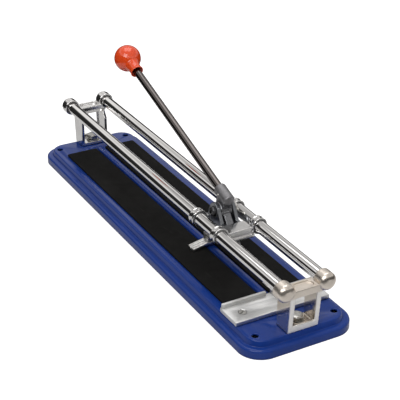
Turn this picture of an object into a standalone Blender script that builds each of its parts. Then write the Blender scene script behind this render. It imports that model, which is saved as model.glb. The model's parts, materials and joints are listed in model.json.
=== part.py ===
"""Rail tile cutter: a pressed steel base with foam pads, two chromed rails held
by cast end brackets, and a carriage with a lever that lowers a scoring wheel when
it is raised and presses a breaking foot onto the tile when it is pushed down.

Frame: X across the base, Y along the rails (the tile fence is at the -Y end),
Z up. The origin is at the bottom centre of the base. Lengths are in millimetres
here and become metres through MM.
"""

import math

import bmesh
import bpy
from mathutils import Matrix, Vector

MM = 0.001
GAP = 0.3             # clearance between two pieces that touch
ROUND = 32            # sides of a middle-sized round piece

# Base pan: pressed sheet with a skirt, a ledge and a raised bed.
BASE_WIDTH = 130.0
BASE_LENGTH = 532.0
BASE_CORNER = 26.0
SHEET = 1.5
SKIRT_TOP = 10.5
SKIRT_BEND = 3.0
LEDGE_INSET = 7.2
BED_INSET = 8.4
BED_BEND = 1.8
BED_TOP = 16.7
CORNER_STEPS = 7
SCREW_HOLE_R = 3.5
SCREW_HOLE_X = 47.4
SCREW_HOLE_Y = 244.0

# Breaking ridge pressed up along the middle of the bed.
RIDGE_R = 5.6
RIDGE_TOP = 19.9
RIDGE_START = -184.0
RIDGE_END = 224.0

# Foam pads each side of the ridge.
PAD_INNER = 6.2
PAD_OUTER = 47.0
PAD_START = -188.0
PAD_END = 221.0
PAD_TOP = 19.2
PAD_CORNER = 2.5

# Fence: an angle section across the bed, screwed down at both ends.
FENCE_HALF = 56.5
FENCE_FAR = -190.3
FENCE_NEAR = -222.3
FENCE_PLATE = 4.4
FENCE_LIP = 9.4
FENCE_LIP_THICK = 3.4
FENCE_NOTCH = 3.5
FENCE_SCREW_X = 40.0
FENCE_SCREW_Y = -207.4
FENCE_SCREW_R = 2.0
FENCE_SCREW_HEAD = 3.9
FENCE_SINK_DEEP = 2.4
FENCE_NUT_FLATS = 7.0
FENCE_NUT_HIGH = 3.2

# Rails and the cast brackets that hold them.
RAIL_R = 7.0
RAIL_X = 24.0
RAIL_Z = 68.3
RAIL_HALF = 262.0
RAIL_CHAMFER = 0.6
BRACKET_FACE = 258.2
BRACKET_LEAN = 3.6    # how far the face leans out at the height of the beam
BRACKET_BACK = 237.0
BRACKET_HALF = 18.1
BRACKET_WALL = 3.6
BRACKET_FLOOR = 4.0
BRACKET_FRAME = 3.0
WINDOW_HALF = 13.0
WINDOW_LOW = 24.4
WINDOW_HIGH = 59.0
BEAM_TOP = 67.2
BEAM_BACK = 245.5
BEAM_HALF = 20.6
BEAM_RIM = 2.2
POCKET_DEEP = 2.0
BOSS_R = 9.9
BOSS_START = 250.8
BOSS_END = 265.9
BOSS_DOME = 3.8
BORE_START = 230.0
GRUB_Y = 257.8
GRUB_R = 2.5
GRUB_KEY = 2.5

# Bolts of the brackets, with their washers and nuts.
BOLT_Y = 245.4
BOLT_R = 4.0
BOLT_FLATS = 13.0
BOLT_HEAD = 5.3
BOLT_NUT = 6.5
WASHER_R = 8.0
WASHER_THICK = 1.4

# Carriage: a cast frame on four bushed eyes.
EYE_FAR = -84.5
EYE_NEAR = -130.5
EYE_HALF = 4.6
EYE_R = 9.4
EYE_BORE = 8.2
BUSH_IN = 7.2
BUSH_OUT = 7.9
CHEEK_IN = 7.4
CHEEK_OUT = 11.4
FRAME_LOW = 58.5
FRAME_TOP = 69.0
EAR_R = 9.5
SHELF_START = -116.5
SHELF_THICK = 3.6
FRONT_WALL = 3.2

# Lever: pivot, handle line, foot and wheel, all in the middle plane X = 0.
PIVOT_Y = -97.0
PIVOT_Z = 78.0
PIVOT_R = 3.0
PIVOT_NUT_FLATS = 10.0
PIVOT_NUT_HIGH = 4.4
HANDLE_ANGLE = math.radians(18.3)
SOCKET_Y = -88.9
SOCKET_Z = 99.8
SOCKET_LENGTH = 23.0
SOCKET_R = 7.0
ROD_R = 4.5
ROD_LENGTH = 233.0
ROD_IN_SOCKET = 17.0
LOCK_PIN_AT = -9.0
LOCK_PIN_R = 1.5
KNOB_R = 16.0
KNOB_SKIRT = 26.8
KNOB_BORE_DEPTH = 14.0
HUB_R = 9.0
HUB_HALF = 6.8
WEB_HALF = 4.5
FORK_HALF = 4.2
PALM_HALF = 5.0
FOOT_Y = -68.8
FOOT_TIP = 24.0
FOOT_TIP_LOW = 19.5
FOOT_RISE = 3.8
FOOT_THICK = 2.6
FOOT_WIDTH = 12.4
FOOT_SCREW_Y = 2.9    # each screw's distance from the foot's middle
FOOT_SCREW_R = 1.25
WHEEL_Y = -128.4
WHEEL_Z = 43.1
WHEEL_R = 8.0
WHEEL_THICK = 1.8
WHEEL_EDGE = 1.6
WHEEL_PIN_R = 1.5
FORK_SLOT = 1.5


# ---------------------------------------------------------------- helpers

def start_scene():
    """Empty the file and make the two collections: parts and cutters."""
    for obj in list(bpy.data.objects):
        bpy.data.objects.remove(obj, do_unlink=True)
    groups = []
    for name in ("tile_cutter", "cutters"):
        group = bpy.data.collections.new(name)
        bpy.context.scene.collection.children.link(group)
        groups.append(group)
    return groups


PARTS, CUTTERS = start_scene()


def material(name, colour, metallic, roughness):
    """Plain Principled material."""
    mat = bpy.data.materials.new(name)
    mat.use_nodes = True
    mat.diffuse_color = (*colour, 1.0)
    shader = mat.node_tree.nodes["Principled BSDF"]
    shader.inputs["Base Color"].default_value = (*colour, 1.0)
    shader.inputs["Metallic"].default_value = metallic
    shader.inputs["Roughness"].default_value = roughness
    return mat


BLUE = material("blue_enamel", (0.02, 0.055, 0.29), 0.0, 0.28)
FOAM = material("black_foam", (0.013, 0.013, 0.013), 0.0, 0.85)
CHROME = material("chrome", (0.86, 0.86, 0.87), 1.0, 0.08)
CAST = material("cast_chrome", (0.72, 0.69, 0.65), 1.0, 0.22)
ALUMINIUM = material("aluminium", (0.62, 0.62, 0.62), 1.0, 0.38)
ZINC = material("zinc_plate", (0.60, 0.61, 0.63), 1.0, 0.30)
GREY_CAST = material("grey_cast", (0.28, 0.28, 0.29), 0.9, 0.45)
STEEL = material("dark_steel", (0.33, 0.32, 0.31), 1.0, 0.25)
TOOL_STEEL = material("tool_steel", (0.42, 0.42, 0.43), 1.0, 0.2)
NYLON = material("nylon", (0.16, 0.16, 0.165), 0.0, 0.5)
ORANGE = material("orange_plastic", (0.80, 0.09, 0.03), 0.0, 0.18)


def finish(mesh_or_object, name, mat, at=(0.0, 0.0, 0.0), smooth=30.0):
    """Name a part, give it its material and place, and put it with the parts."""
    obj = mesh_or_object
    if not isinstance(obj, bpy.types.Object):
        obj = bpy.data.objects.new(name, mesh_or_object)
    for group in list(obj.users_collection):
        group.objects.unlink(obj)
    PARTS.objects.link(obj)
    obj.name = name
    obj.data.materials.clear()
    obj.data.materials.append(mat)
    obj.location = Vector(at) * MM
    obj.data.shade_smooth()
    obj.data.set_sharp_from_angle(angle=math.radians(smooth))
    return obj


def cutter(mesh, name="cutter"):
    """A helper solid that is subtracted from a part or joined to it."""
    obj = bpy.data.objects.new(name, mesh)
    CUTTERS.objects.link(obj)
    obj.hide_render = True
    obj.display_type = "WIRE"
    return obj


def mesh_from(bm, name="solid"):
    """Turn a bmesh in millimetres into a mesh in metres."""
    bmesh.ops.scale(bm, vec=(MM, MM, MM), verts=bm.verts)
    bmesh.ops.recalc_face_normals(bm, faces=bm.faces)
    mesh = bpy.data.meshes.new(name)
    bm.to_mesh(mesh)
    bm.free()
    return mesh


def box_mesh(low, high):
    """Box between two corners."""
    bm = bmesh.new()
    bmesh.ops.create_cube(bm, size=1.0)
    size = [b - a for a, b in zip(low, high)]
    middle = [(a + b) / 2 for a, b in zip(low, high)]
    bmesh.ops.scale(bm, vec=size, verts=bm.verts)
    bmesh.ops.translate(bm, vec=middle, verts=bm.verts)
    return mesh_from(bm)


def turn_to(axis):
    """Rotation that takes +Z to an axis."""
    return Vector((0, 0, 1)).rotation_difference(Vector(axis)).to_matrix().to_4x4()


def rod_mesh(start, axis, length, radius, sides=ROUND, end_radius=None):
    """Cylinder or cone from a start point along an axis."""
    bm = bmesh.new()
    bmesh.ops.create_cone(
        bm, cap_ends=True, segments=sides, depth=length,
        radius1=radius, radius2=radius if end_radius is None else end_radius)
    bmesh.ops.translate(bm, vec=(0, 0, length / 2), verts=bm.verts)
    place = Matrix.Translation(Vector(start)) @ turn_to(axis)
    bmesh.ops.transform(bm, matrix=place, verts=bm.verts)
    return mesh_from(bm)


def evaluated_mesh(obj):
    """An object's mesh after its modifiers or curve settings. The object is removed."""
    PARTS.objects.link(obj)
    depsgraph = bpy.context.evaluated_depsgraph_get()
    mesh = bpy.data.meshes.new_from_object(obj.evaluated_get(depsgraph))
    bpy.data.objects.remove(obj, do_unlink=True)
    return mesh


def cleaned(mesh, place=Matrix.Identity(4)):
    """Mesh with joined points and outward faces, moved to its place."""
    bm = bmesh.new()
    bm.from_mesh(mesh)
    bmesh.ops.remove_doubles(bm, verts=bm.verts, dist=1e-7)
    bmesh.ops.recalc_face_normals(bm, faces=bm.faces)
    bmesh.ops.transform(bm, matrix=place, verts=bm.verts)
    bm.to_mesh(mesh)
    bm.free()
    return mesh


def turned_mesh(profile, start=(0, 0, 0), axis=(0, 0, 1), sides=ROUND):
    """Solid of revolution. The profile's points are (radius, height). It begins and ends
    on the axis, or it is a closed loop for a piece with a bore."""
    points = [(radius * MM, 0.0, height * MM) for radius, height in profile]
    if profile[0] != profile[-1]:
        for end in (0, -1):
            if points[end][0] > 0:
                tip = (0.0, 0.0, points[end][2])
                points.insert(0 if end == 0 else len(points), tip)
    mesh = bpy.data.meshes.new("profile")
    mesh.from_pydata(points, [(k, k + 1) for k in range(len(points) - 1)], [])
    obj = bpy.data.objects.new("turned", mesh)
    screw = obj.modifiers.new("turn", "SCREW")
    screw.axis = "Z"
    screw.steps = sides
    screw.render_steps = sides
    screw.use_merge_vertices = True
    screw.merge_threshold = 1e-6
    place = Matrix.Translation(Vector(start) * MM) @ turn_to(axis)
    return cleaned(evaluated_mesh(obj), place)


def plate_mesh(outline, low, high, across="X"):
    """Flat outline with a thickness. Across X the points are (y, z), across Z (x, y)."""
    curve = bpy.data.curves.new("outline", "CURVE")
    curve.dimensions = "2D"
    curve.fill_mode = "BOTH"
    curve.extrude = (high - low) / 2 * MM
    spline = curve.splines.new("POLY")
    spline.points.add(len(outline) - 1)
    for point, (a, b) in zip(spline.points, outline):
        point.co = (a * MM, b * MM, 0.0, 1.0)
    spline.use_cyclic_u = True
    # The curve lies flat in XY. Across X its axes become Y and Z.
    place = Matrix.Translation((0, 0, (high + low) / 2 * MM))
    if across == "X":
        place = Matrix(((0, 0, 1, 0), (1, 0, 0, 0), (0, 1, 0, 0), (0, 0, 0, 1))) @ place
    return cleaned(evaluated_mesh(bpy.data.objects.new("plate", curve)), place)


def arc(centre, radius, start, end, steps):
    """Points on an arc, angles in degrees."""
    points = []
    for k in range(steps + 1):
        angle = math.radians(start + (end - start) * k / steps)
        points.append((
            centre[0] + radius * math.cos(angle),
            centre[1] + radius * math.sin(angle)))
    return points


def rounded_rectangle(half_x, half_y, radius, steps=CORNER_STEPS, centre=(0.0, 0.0)):
    """Outline of a rectangle with round corners, anticlockwise."""
    cx, cy = centre
    x, y = half_x - radius, half_y - radius
    points = []
    for sx, sy, angle in ((1, 1, 0), (-1, 1, 90), (-1, -1, 180), (1, -1, 270)):
        points += arc((cx + sx * x, cy + sy * y), radius, angle, angle + 90, steps)
    return points


def link_outline(ends, steps=8):
    """Convex outline round two circles, each (centre, radius)."""
    (c0, r0), (c1, r1) = ends
    angle = math.degrees(math.atan2(c1[1] - c0[1], c1[0] - c0[0]))
    length = math.dist(c0, c1)
    lean = math.degrees(math.acos((r0 - r1) / length))
    first = arc(c1, r1, angle - lean, angle + lean, steps)
    second = arc(c0, r0, angle + lean, angle + 360 - lean, steps)
    return first + second


def combine(base, others, operation):
    """Join solids to a base, or cut them from it, with exact Booleans."""
    for other in others:
        tool = other if isinstance(other, bpy.types.Object) else cutter(other)
        step = base.modifiers.new(operation.lower(), "BOOLEAN")
        step.operation = operation
        step.solver = "EXACT"
        step.object = tool
    depsgraph = bpy.context.evaluated_depsgraph_get()
    mesh = bpy.data.meshes.new_from_object(base.evaluated_get(depsgraph))
    base.modifiers.clear()
    base.data = mesh
    for tool in list(CUTTERS.objects):
        bpy.data.objects.remove(tool, do_unlink=True)
    bm = bmesh.new()
    bm.from_mesh(mesh)
    bmesh.ops.remove_doubles(bm, verts=bm.verts, dist=1e-6)
    bmesh.ops.dissolve_degenerate(bm, edges=bm.edges, dist=1e-6)
    bm.to_mesh(mesh)
    bm.free()
    return base


def join(name, mat, pieces, cuts=(), smooth=30.0):
    """One solid made from several joined pieces, less the cuts."""
    base = bpy.data.objects.new(name, pieces[0])
    PARTS.objects.link(base)
    combine(base, pieces[1:], "UNION")
    if cuts:
        combine(base, list(cuts), "DIFFERENCE")
    return finish(base, name, mat, smooth=smooth)


def hex_mesh(start, axis, across_flats, height):
    """Hexagonal head or nut blank."""
    return rod_mesh(start, axis, height, across_flats / math.sqrt(3), sides=6)


# ---------------------------------------------------------------- base

def base_profile():
    """(inset, height) points of the pan's outer surface, from rim to bed."""
    points = [(0.0, 0.0)]
    bend = arc((SKIRT_BEND, SKIRT_TOP - SKIRT_BEND), SKIRT_BEND, 180, 90, 4)
    points += bend
    points.append((LEDGE_INSET - 1.2, SKIRT_TOP))
    points.append((LEDGE_INSET - 0.3, SKIRT_TOP + 0.4))
    points.append((LEDGE_INSET + 0.1, SKIRT_TOP + 1.3))
    points += arc((BED_INSET + BED_BEND, BED_TOP - BED_BEND), BED_BEND, 170, 90, 4)
    return points


def pan_shell():
    """Open pressed surface of rounded-rectangle rings, thickened inwards."""
    bm = bmesh.new()
    rings = []
    for inset, height in base_profile():
        outline = rounded_rectangle(
            BASE_WIDTH / 2 - inset, BASE_LENGTH / 2 - inset, BASE_CORNER - inset)
        rings.append([bm.verts.new((x, y, height)) for x, y in outline])
    for low, high in zip(rings, rings[1:]):
        for k in range(len(low)):
            j = (k + 1) % len(low)
            bm.faces.new((low[k], low[j], high[j], high[k]))
    bm.faces.new(rings[-1])
    obj = bpy.data.objects.new("base_pan", mesh_from(bm))
    PARTS.objects.link(obj)
    shell = obj.modifiers.new("sheet", "SOLIDIFY")
    shell.thickness = SHEET * MM
    shell.offset = -1.0
    shell.use_even_offset = True
    return obj


def ridge_mesh(radius, trim):
    """Round bar along the bed whose top stands out as the breaking ridge."""
    centre = (0, RIDGE_START + trim, RIDGE_TOP - RIDGE_R)
    return rod_mesh(centre, (0, 1, 0), RIDGE_END - RIDGE_START - 2 * trim, radius, sides=28)


def bed_holes():
    """Cutters for the screw-down holes and the bolt and fence-screw holes."""
    spots = []
    for sx in (-1, 1):
        spots.append((sx * FENCE_SCREW_X, FENCE_SCREW_Y, 2.0 + GAP))
        for sy in (-1, 1):
            spots.append((sx * SCREW_HOLE_X, sy * SCREW_HOLE_Y, SCREW_HOLE_R))
    for sy in (-1, 1):
        spots.append((0.0, sy * BOLT_Y, BOLT_R + GAP))
    return [rod_mesh((x, y, BED_TOP - 6), (0, 0, 1), 12, r, sides=20) for x, y, r in spots]


def make_base():
    pan = pan_shell()
    combine(pan, [ridge_mesh(RIDGE_R, 0.0)], "UNION")
    # The ridge is pressed sheet too, so it is hollow underneath.
    low_z = BED_TOP - SHEET
    cuts = [ridge_mesh(RIDGE_R - SHEET, 1.5),
            box_mesh((-RIDGE_R - 1, RIDGE_START - 1, low_z - 12),
                     (RIDGE_R + 1, RIDGE_END + 1, low_z))]
    combine(pan, cuts + bed_holes(), "DIFFERENCE")
    finish(pan, "base_pan", BLUE, smooth=35)

    for side, name in ((-1, "pad_left"), (1, "pad_right")):
        outline = rounded_rectangle(
            (PAD_OUTER - PAD_INNER) / 2, (PAD_END - PAD_START) / 2, PAD_CORNER, steps=4,
            centre=(side * (PAD_OUTER + PAD_INNER) / 2, (PAD_END + PAD_START) / 2))
        finish(plate_mesh(outline, BED_TOP + GAP, PAD_TOP, across="Z"), name, FOAM)


def make_fence():
    low = BED_TOP + GAP
    plate_top = low + FENCE_PLATE
    profile = [
        (FENCE_FAR, low), (FENCE_FAR, low + FENCE_LIP - 0.6),
        (FENCE_FAR - 0.6, low + FENCE_LIP), (FENCE_FAR - FENCE_LIP_THICK + 0.6, low + FENCE_LIP),
        (FENCE_FAR - FENCE_LIP_THICK, low + FENCE_LIP - 0.6),
        (FENCE_FAR - FENCE_LIP_THICK, plate_top + 1.0),
        (FENCE_FAR - FENCE_LIP_THICK - 1.0, plate_top),
        (FENCE_NEAR + 0.8, plate_top), (FENCE_NEAR, plate_top - 0.8), (FENCE_NEAR, low)]
    # The wheel passes through a notch in the lip.
    notch = box_mesh(
        (-FENCE_NOTCH, FENCE_FAR - FENCE_LIP_THICK - 1.5, plate_top + 0.05),
        (FENCE_NOTCH, FENCE_FAR + 2, low + FENCE_LIP + 2))
    cuts = [notch]
    for side in (-1, 1):
        spot = (side * FENCE_SCREW_X, FENCE_SCREW_Y)
        cuts.append(rod_mesh((*spot, low - 1), (0, 0, 1), FENCE_PLATE + 3, FENCE_SCREW_R + GAP, sides=24))
        sink = rod_mesh((*spot, plate_top - FENCE_SINK_DEEP), (0, 0, 1), FENCE_SINK_DEEP + 0.4,
                        FENCE_SCREW_R + GAP, sides=24, end_radius=5.1)
        cuts.append(sink)
        # Both ends have a sloped edge.
        outer = side * (FENCE_HALF + 1)
        inner = side * (FENCE_HALF - 1.2)
        wedge = plate_mesh([(outer, plate_top - 1.2), (outer, low + 20), (inner, low + 20),
                            (inner, plate_top + 1.2)], FENCE_NEAR - 1, FENCE_FAR + 1)
        wedge.transform(Matrix.Rotation(math.radians(90), 4, "Z"))
        wedge.transform(Matrix.Scale(-1, 4, (1, 0, 0)))
        wedge.flip_normals()
        cuts.append(wedge)
    join("fence_bar", ALUMINIUM,
         [plate_mesh(profile, -FENCE_HALF, FENCE_HALF)], cuts)

    for side, word in ((-1, "left"), (1, "right")):
        spot = (side * FENCE_SCREW_X, FENCE_SCREW_Y)
        head = turned_mesh([(FENCE_SCREW_R, -1.9), (FENCE_SCREW_HEAD, 0.0),
                            (FENCE_SCREW_HEAD, 0.25), (0.0, 0.35)],
                           start=(*spot, plate_top - 0.45), sides=24)
        shank = rod_mesh((*spot, BED_TOP - SHEET - 5.5), (0, 0, 1), 10.5, FENCE_SCREW_R, sides=16)
        slot = box_mesh((spot[0] - 5, spot[1] - 0.5, plate_top - 0.9),
                        (spot[0] + 5, spot[1] + 0.5, plate_top + 1))
        join("fence_screw_" + word, ZINC, [head, shank], [slot])
        nut = hex_mesh((*spot, BED_TOP - SHEET - GAP - FENCE_NUT_HIGH), (0, 0, 1),
                       FENCE_NUT_FLATS, FENCE_NUT_HIGH)
        join("fence_nut_" + word, ZINC, [nut],
             [rod_mesh((*spot, 5), (0, 0, 1), 20, FENCE_SCREW_R + GAP, sides=16)])


# ---------------------------------------------------------------- rails and brackets

def make_bracket(end, word):
    """Cast portal: a box with a window, a beam across the top and two rail bosses."""
    low = BED_TOP + GAP
    face = end * BRACKET_FACE
    top_face = end * (BRACKET_FACE + BRACKET_LEAN)
    back = end * BRACKET_BACK
    beam_back = end * BEAM_BACK
    shoulder = WINDOW_HIGH + 2.7

    def span(x0, x1, y0, y1, z0, z1):
        return box_mesh((x0, min(y0, y1), z0), (x1, max(y0, y1), z1))

    # The side view leans out towards the beam, and is cut back behind it.
    side_view = [(face, low), (top_face, WINDOW_HIGH), (top_face, shoulder),
                 (beam_back, shoulder), (back, WINDOW_HIGH - 8), (back, low)]
    body = plate_mesh(side_view, -BRACKET_HALF, BRACKET_HALF)
    beam = span(-BEAM_HALF, BEAM_HALF, top_face, beam_back, WINDOW_HIGH, BEAM_TOP)
    pieces = [body, beam]
    length = BOSS_END - BOSS_START
    dome = arc((0, 0), 1.0, 0, 90, 5)
    for side in (-1, 1):
        profile = [(BOSS_R - 0.8, 0.0), (BOSS_R, 0.8)]
        profile += [(BOSS_R * (0.45 + 0.55 * a), length - BOSS_DOME * (1 - b)) for a, b in dome]
        profile.append((0.0, length))
        pieces.append(turned_mesh(
            profile, start=(side * RAIL_X, end * BOSS_START, RAIL_Z), axis=(0, end, 0)))

    # The through opening follows the leaning face and leaves the front frame.
    inside = [(face - end * BRACKET_FRAME, low + BRACKET_FLOOR),
              (top_face - end * BRACKET_FRAME, WINDOW_HIGH),
              (back - end * 1, WINDOW_HIGH), (back - end * 1, low + BRACKET_FLOOR)]
    pocket_half = RAIL_X - BOSS_R - BEAM_RIM
    cuts = [
        plate_mesh(inside, -BRACKET_HALF + BRACKET_WALL, BRACKET_HALF - BRACKET_WALL),
        span(-WINDOW_HALF, WINDOW_HALF, top_face + end * 1, face - end * (BRACKET_FRAME + 1),
             WINDOW_LOW, WINDOW_HIGH),
        # Shallow pocket on top of the beam.
        span(-pocket_half, pocket_half, top_face - end * BEAM_RIM, beam_back + end * BEAM_RIM,
             BEAM_TOP - POCKET_DEEP, BEAM_TOP + 1),
        rod_mesh((0, end * BOLT_Y, low - 1), (0, 0, 1), BRACKET_FLOOR + 2, BOLT_R + GAP, sides=24),
    ]
    for side in (-1, 1):
        cuts.append(rod_mesh(
            (side * RAIL_X, end * BORE_START, RAIL_Z), (0, end, 0),
            RAIL_HALF + GAP - BORE_START, RAIL_R + GAP))
        cuts.append(rod_mesh(
            (side * RAIL_X, end * GRUB_Y, RAIL_Z - BOSS_R - 1), (0, 0, 1), 6.0,
            GRUB_R + GAP, sides=16))
    join(word + "_bracket", CAST, pieces, cuts)

    floor_top = low + BRACKET_FLOOR
    washer = turned_mesh(
        [(BOLT_R + GAP, 0), (WASHER_R, 0), (WASHER_R, WASHER_THICK), (BOLT_R + GAP, WASHER_THICK),
         (BOLT_R + GAP, 0)],
        start=(0, end * BOLT_Y, floor_top + GAP))
    finish(washer, word + "_bracket_washer", ZINC)
    head_low = floor_top + WASHER_THICK + 2 * GAP
    head = hex_mesh((0, end * BOLT_Y, head_low), (0, 0, 1), BOLT_FLATS, BOLT_HEAD)
    crown = turned_mesh([(7.6, -1), (7.6, BOLT_HEAD - 1.1), (6.2, BOLT_HEAD + 0.2), (0, BOLT_HEAD + 0.2)],
                        start=(0, end * BOLT_Y, head_low))
    bolt = bpy.data.objects.new("head", head)
    PARTS.objects.link(bolt)
    combine(bolt, [crown], "INTERSECT")
    combine(bolt, [rod_mesh((0, end * BOLT_Y, BED_TOP - 10.5), (0, 0, 1),
                            head_low - BED_TOP + 11.5, BOLT_R, sides=20)], "UNION")
    finish(bolt, word + "_bracket_bolt", ZINC)
    nut = hex_mesh((0, end * BOLT_Y, BED_TOP - SHEET - GAP - BOLT_NUT), (0, 0, 1),
                   BOLT_FLATS, BOLT_NUT)
    join(word + "_bracket_nut", ZINC, [nut],
         [rod_mesh((0, end * BOLT_Y, 2), (0, 0, 1), 20, BOLT_R + GAP, sides=20)])

    bottom = RAIL_Z - BOSS_R + 0.4
    for side, hand in ((-1, "left"), (1, "right")):
        spot = (side * RAIL_X, end * GRUB_Y)
        screw = rod_mesh((*spot, bottom), (0, 0, 1), RAIL_Z - RAIL_R - GAP - bottom, GRUB_R, sides=16)
        key = hex_mesh((*spot, bottom - 1), (0, 0, 1), GRUB_KEY, 2.2)
        join(word + "_grub_screw_" + hand, STEEL, [screw], [key])


def make_rails():
    for side, name in ((-1, "rail_left"), (1, "rail_right")):
        length = 2 * RAIL_HALF
        profile = [(RAIL_R - RAIL_CHAMFER, 0.0), (RAIL_R, RAIL_CHAMFER),
                   (RAIL_R, length - RAIL_CHAMFER), (RAIL_R - RAIL_CHAMFER, length)]
        finish(turned_mesh(profile, start=(side * RAIL_X, -RAIL_HALF, RAIL_Z), axis=(0, 1, 0)),
               name, CHROME)


# ---------------------------------------------------------------- carriage

def eye_mesh(x, y):
    """Flared ring of the cast frame round one rail."""
    profile = [(EYE_R - 0.9, -EYE_HALF), (EYE_R, -EYE_HALF + 1.0),
               (EYE_R, EYE_HALF - 2.6), (EYE_R - 1.0, EYE_HALF)]
    return turned_mesh(profile, start=(x, y, RAIL_Z), axis=(0, 1, 0))


def make_carriage():
    pieces = []
    cuts = []
    low_near = EYE_NEAR - 3.4
    for side in (-1, 1):
        cheek_x = sorted((side * CHEEK_IN, side * CHEEK_OUT))
        pieces.append(box_mesh((cheek_x[0], low_near, FRAME_LOW),
                               (cheek_x[1], EYE_FAR + 3.0, FRAME_TOP)))
        ear = [(PIVOT_Y + EAR_R + 6, FRAME_TOP - 4)]
        ear += arc((PIVOT_Y, PIVOT_Z), EAR_R, 20, 160, 10)
        ear.append((PIVOT_Y - EAR_R - 8, FRAME_TOP - 4))
        pieces.append(plate_mesh(ear, *cheek_x))
        arm_x = sorted((side * (CHEEK_OUT - 1), side * (RAIL_X - RAIL_R + 1.5)))
        pieces.append(box_mesh((arm_x[0], EYE_FAR - 3.0, FRAME_LOW + 3.5),
                               (arm_x[1], EYE_FAR + 3.0, FRAME_TOP)))
        for y in (EYE_FAR, EYE_NEAR):
            pieces.append(eye_mesh(side * RAIL_X, y))
            cuts.append(rod_mesh((side * RAIL_X, y - 9, RAIL_Z), (0, 1, 0), 18, EYE_BORE))
    edge = RAIL_X - RAIL_R + 1.5
    # Front wall with a lower lip, and the flat shelf behind it.
    pieces.append(box_mesh((-edge, low_near, FRAME_LOW), (edge, low_near + FRONT_WALL, FRAME_TOP)))
    pieces.append(box_mesh((-edge + 1.5, low_near - 1.6, FRAME_LOW - 1.2),
                           (edge - 1.5, low_near + FRONT_WALL, FRAME_LOW + 2.6)))
    shelf_edge = RAIL_X - RAIL_R - 1.2
    pieces.append(box_mesh((-shelf_edge, low_near + 1, FRAME_TOP - SHELF_THICK),
                           (shelf_edge, SHELF_START, FRAME_TOP)))
    cuts.append(rod_mesh((-20, PIVOT_Y, PIVOT_Z), (1, 0, 0), 40, PIVOT_R + GAP, sides=24))
    join("carriage_frame", CAST, pieces, cuts)

    for side, hand in ((-1, "left"), (1, "right")):
        for y, place in ((EYE_FAR, "far"), (EYE_NEAR, "near")):
            profile = [(BUSH_IN, -EYE_HALF), (BUSH_OUT, -EYE_HALF), (BUSH_OUT, EYE_HALF),
                       (BUSH_IN, EYE_HALF), (BUSH_IN, -EYE_HALF)]
            bush = turned_mesh(profile, start=(side * RAIL_X, y, RAIL_Z), axis=(0, 1, 0))
            finish(bush, "slide_bush_" + place + "_" + hand, NYLON)

    pivot = (-CHEEK_OUT - GAP, PIVOT_Y, PIVOT_Z)
    head = turned_mesh([(5.4, 0.0), (5.4, 1.6), (4.4, 3.0), (2.0, 3.8), (0.0, 3.9)],
                       start=pivot, axis=(-1, 0, 0), sides=24)
    shank = rod_mesh((pivot[0] - 0.5, PIVOT_Y, PIVOT_Z), (1, 0, 0),
                     2 * CHEEK_OUT + 6.0, PIVOT_R, sides=24)
    slot = hex_mesh((pivot[0] - 5, PIVOT_Y, PIVOT_Z), (1, 0, 0), 3.6, 3.6)
    join("pivot_bolt", ZINC, [head, shank], [slot])
    nut = hex_mesh((CHEEK_OUT + GAP, PIVOT_Y, PIVOT_Z), (1, 0, 0), PIVOT_NUT_FLATS, PIVOT_NUT_HIGH)
    join("pivot_nut", ZINC, [nut],
         [rod_mesh((0, PIVOT_Y, PIVOT_Z), (1, 0, 0), 30, PIVOT_R + GAP, sides=24)])


# ---------------------------------------------------------------- lever

def along(distance, start=(0.0, SOCKET_Y, SOCKET_Z)):
    """Point on the handle's line, measured from the mouth of the socket."""
    return (start[0], start[1] + distance * math.cos(HANDLE_ANGLE),
            start[2] + distance * math.sin(HANDLE_ANGLE))


def foot_low(x):
    """Height of the foot's underside: it droops towards both tips."""
    return FOOT_TIP_LOW + FOOT_RISE * (1 - abs(x) / FOOT_TIP)


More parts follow.
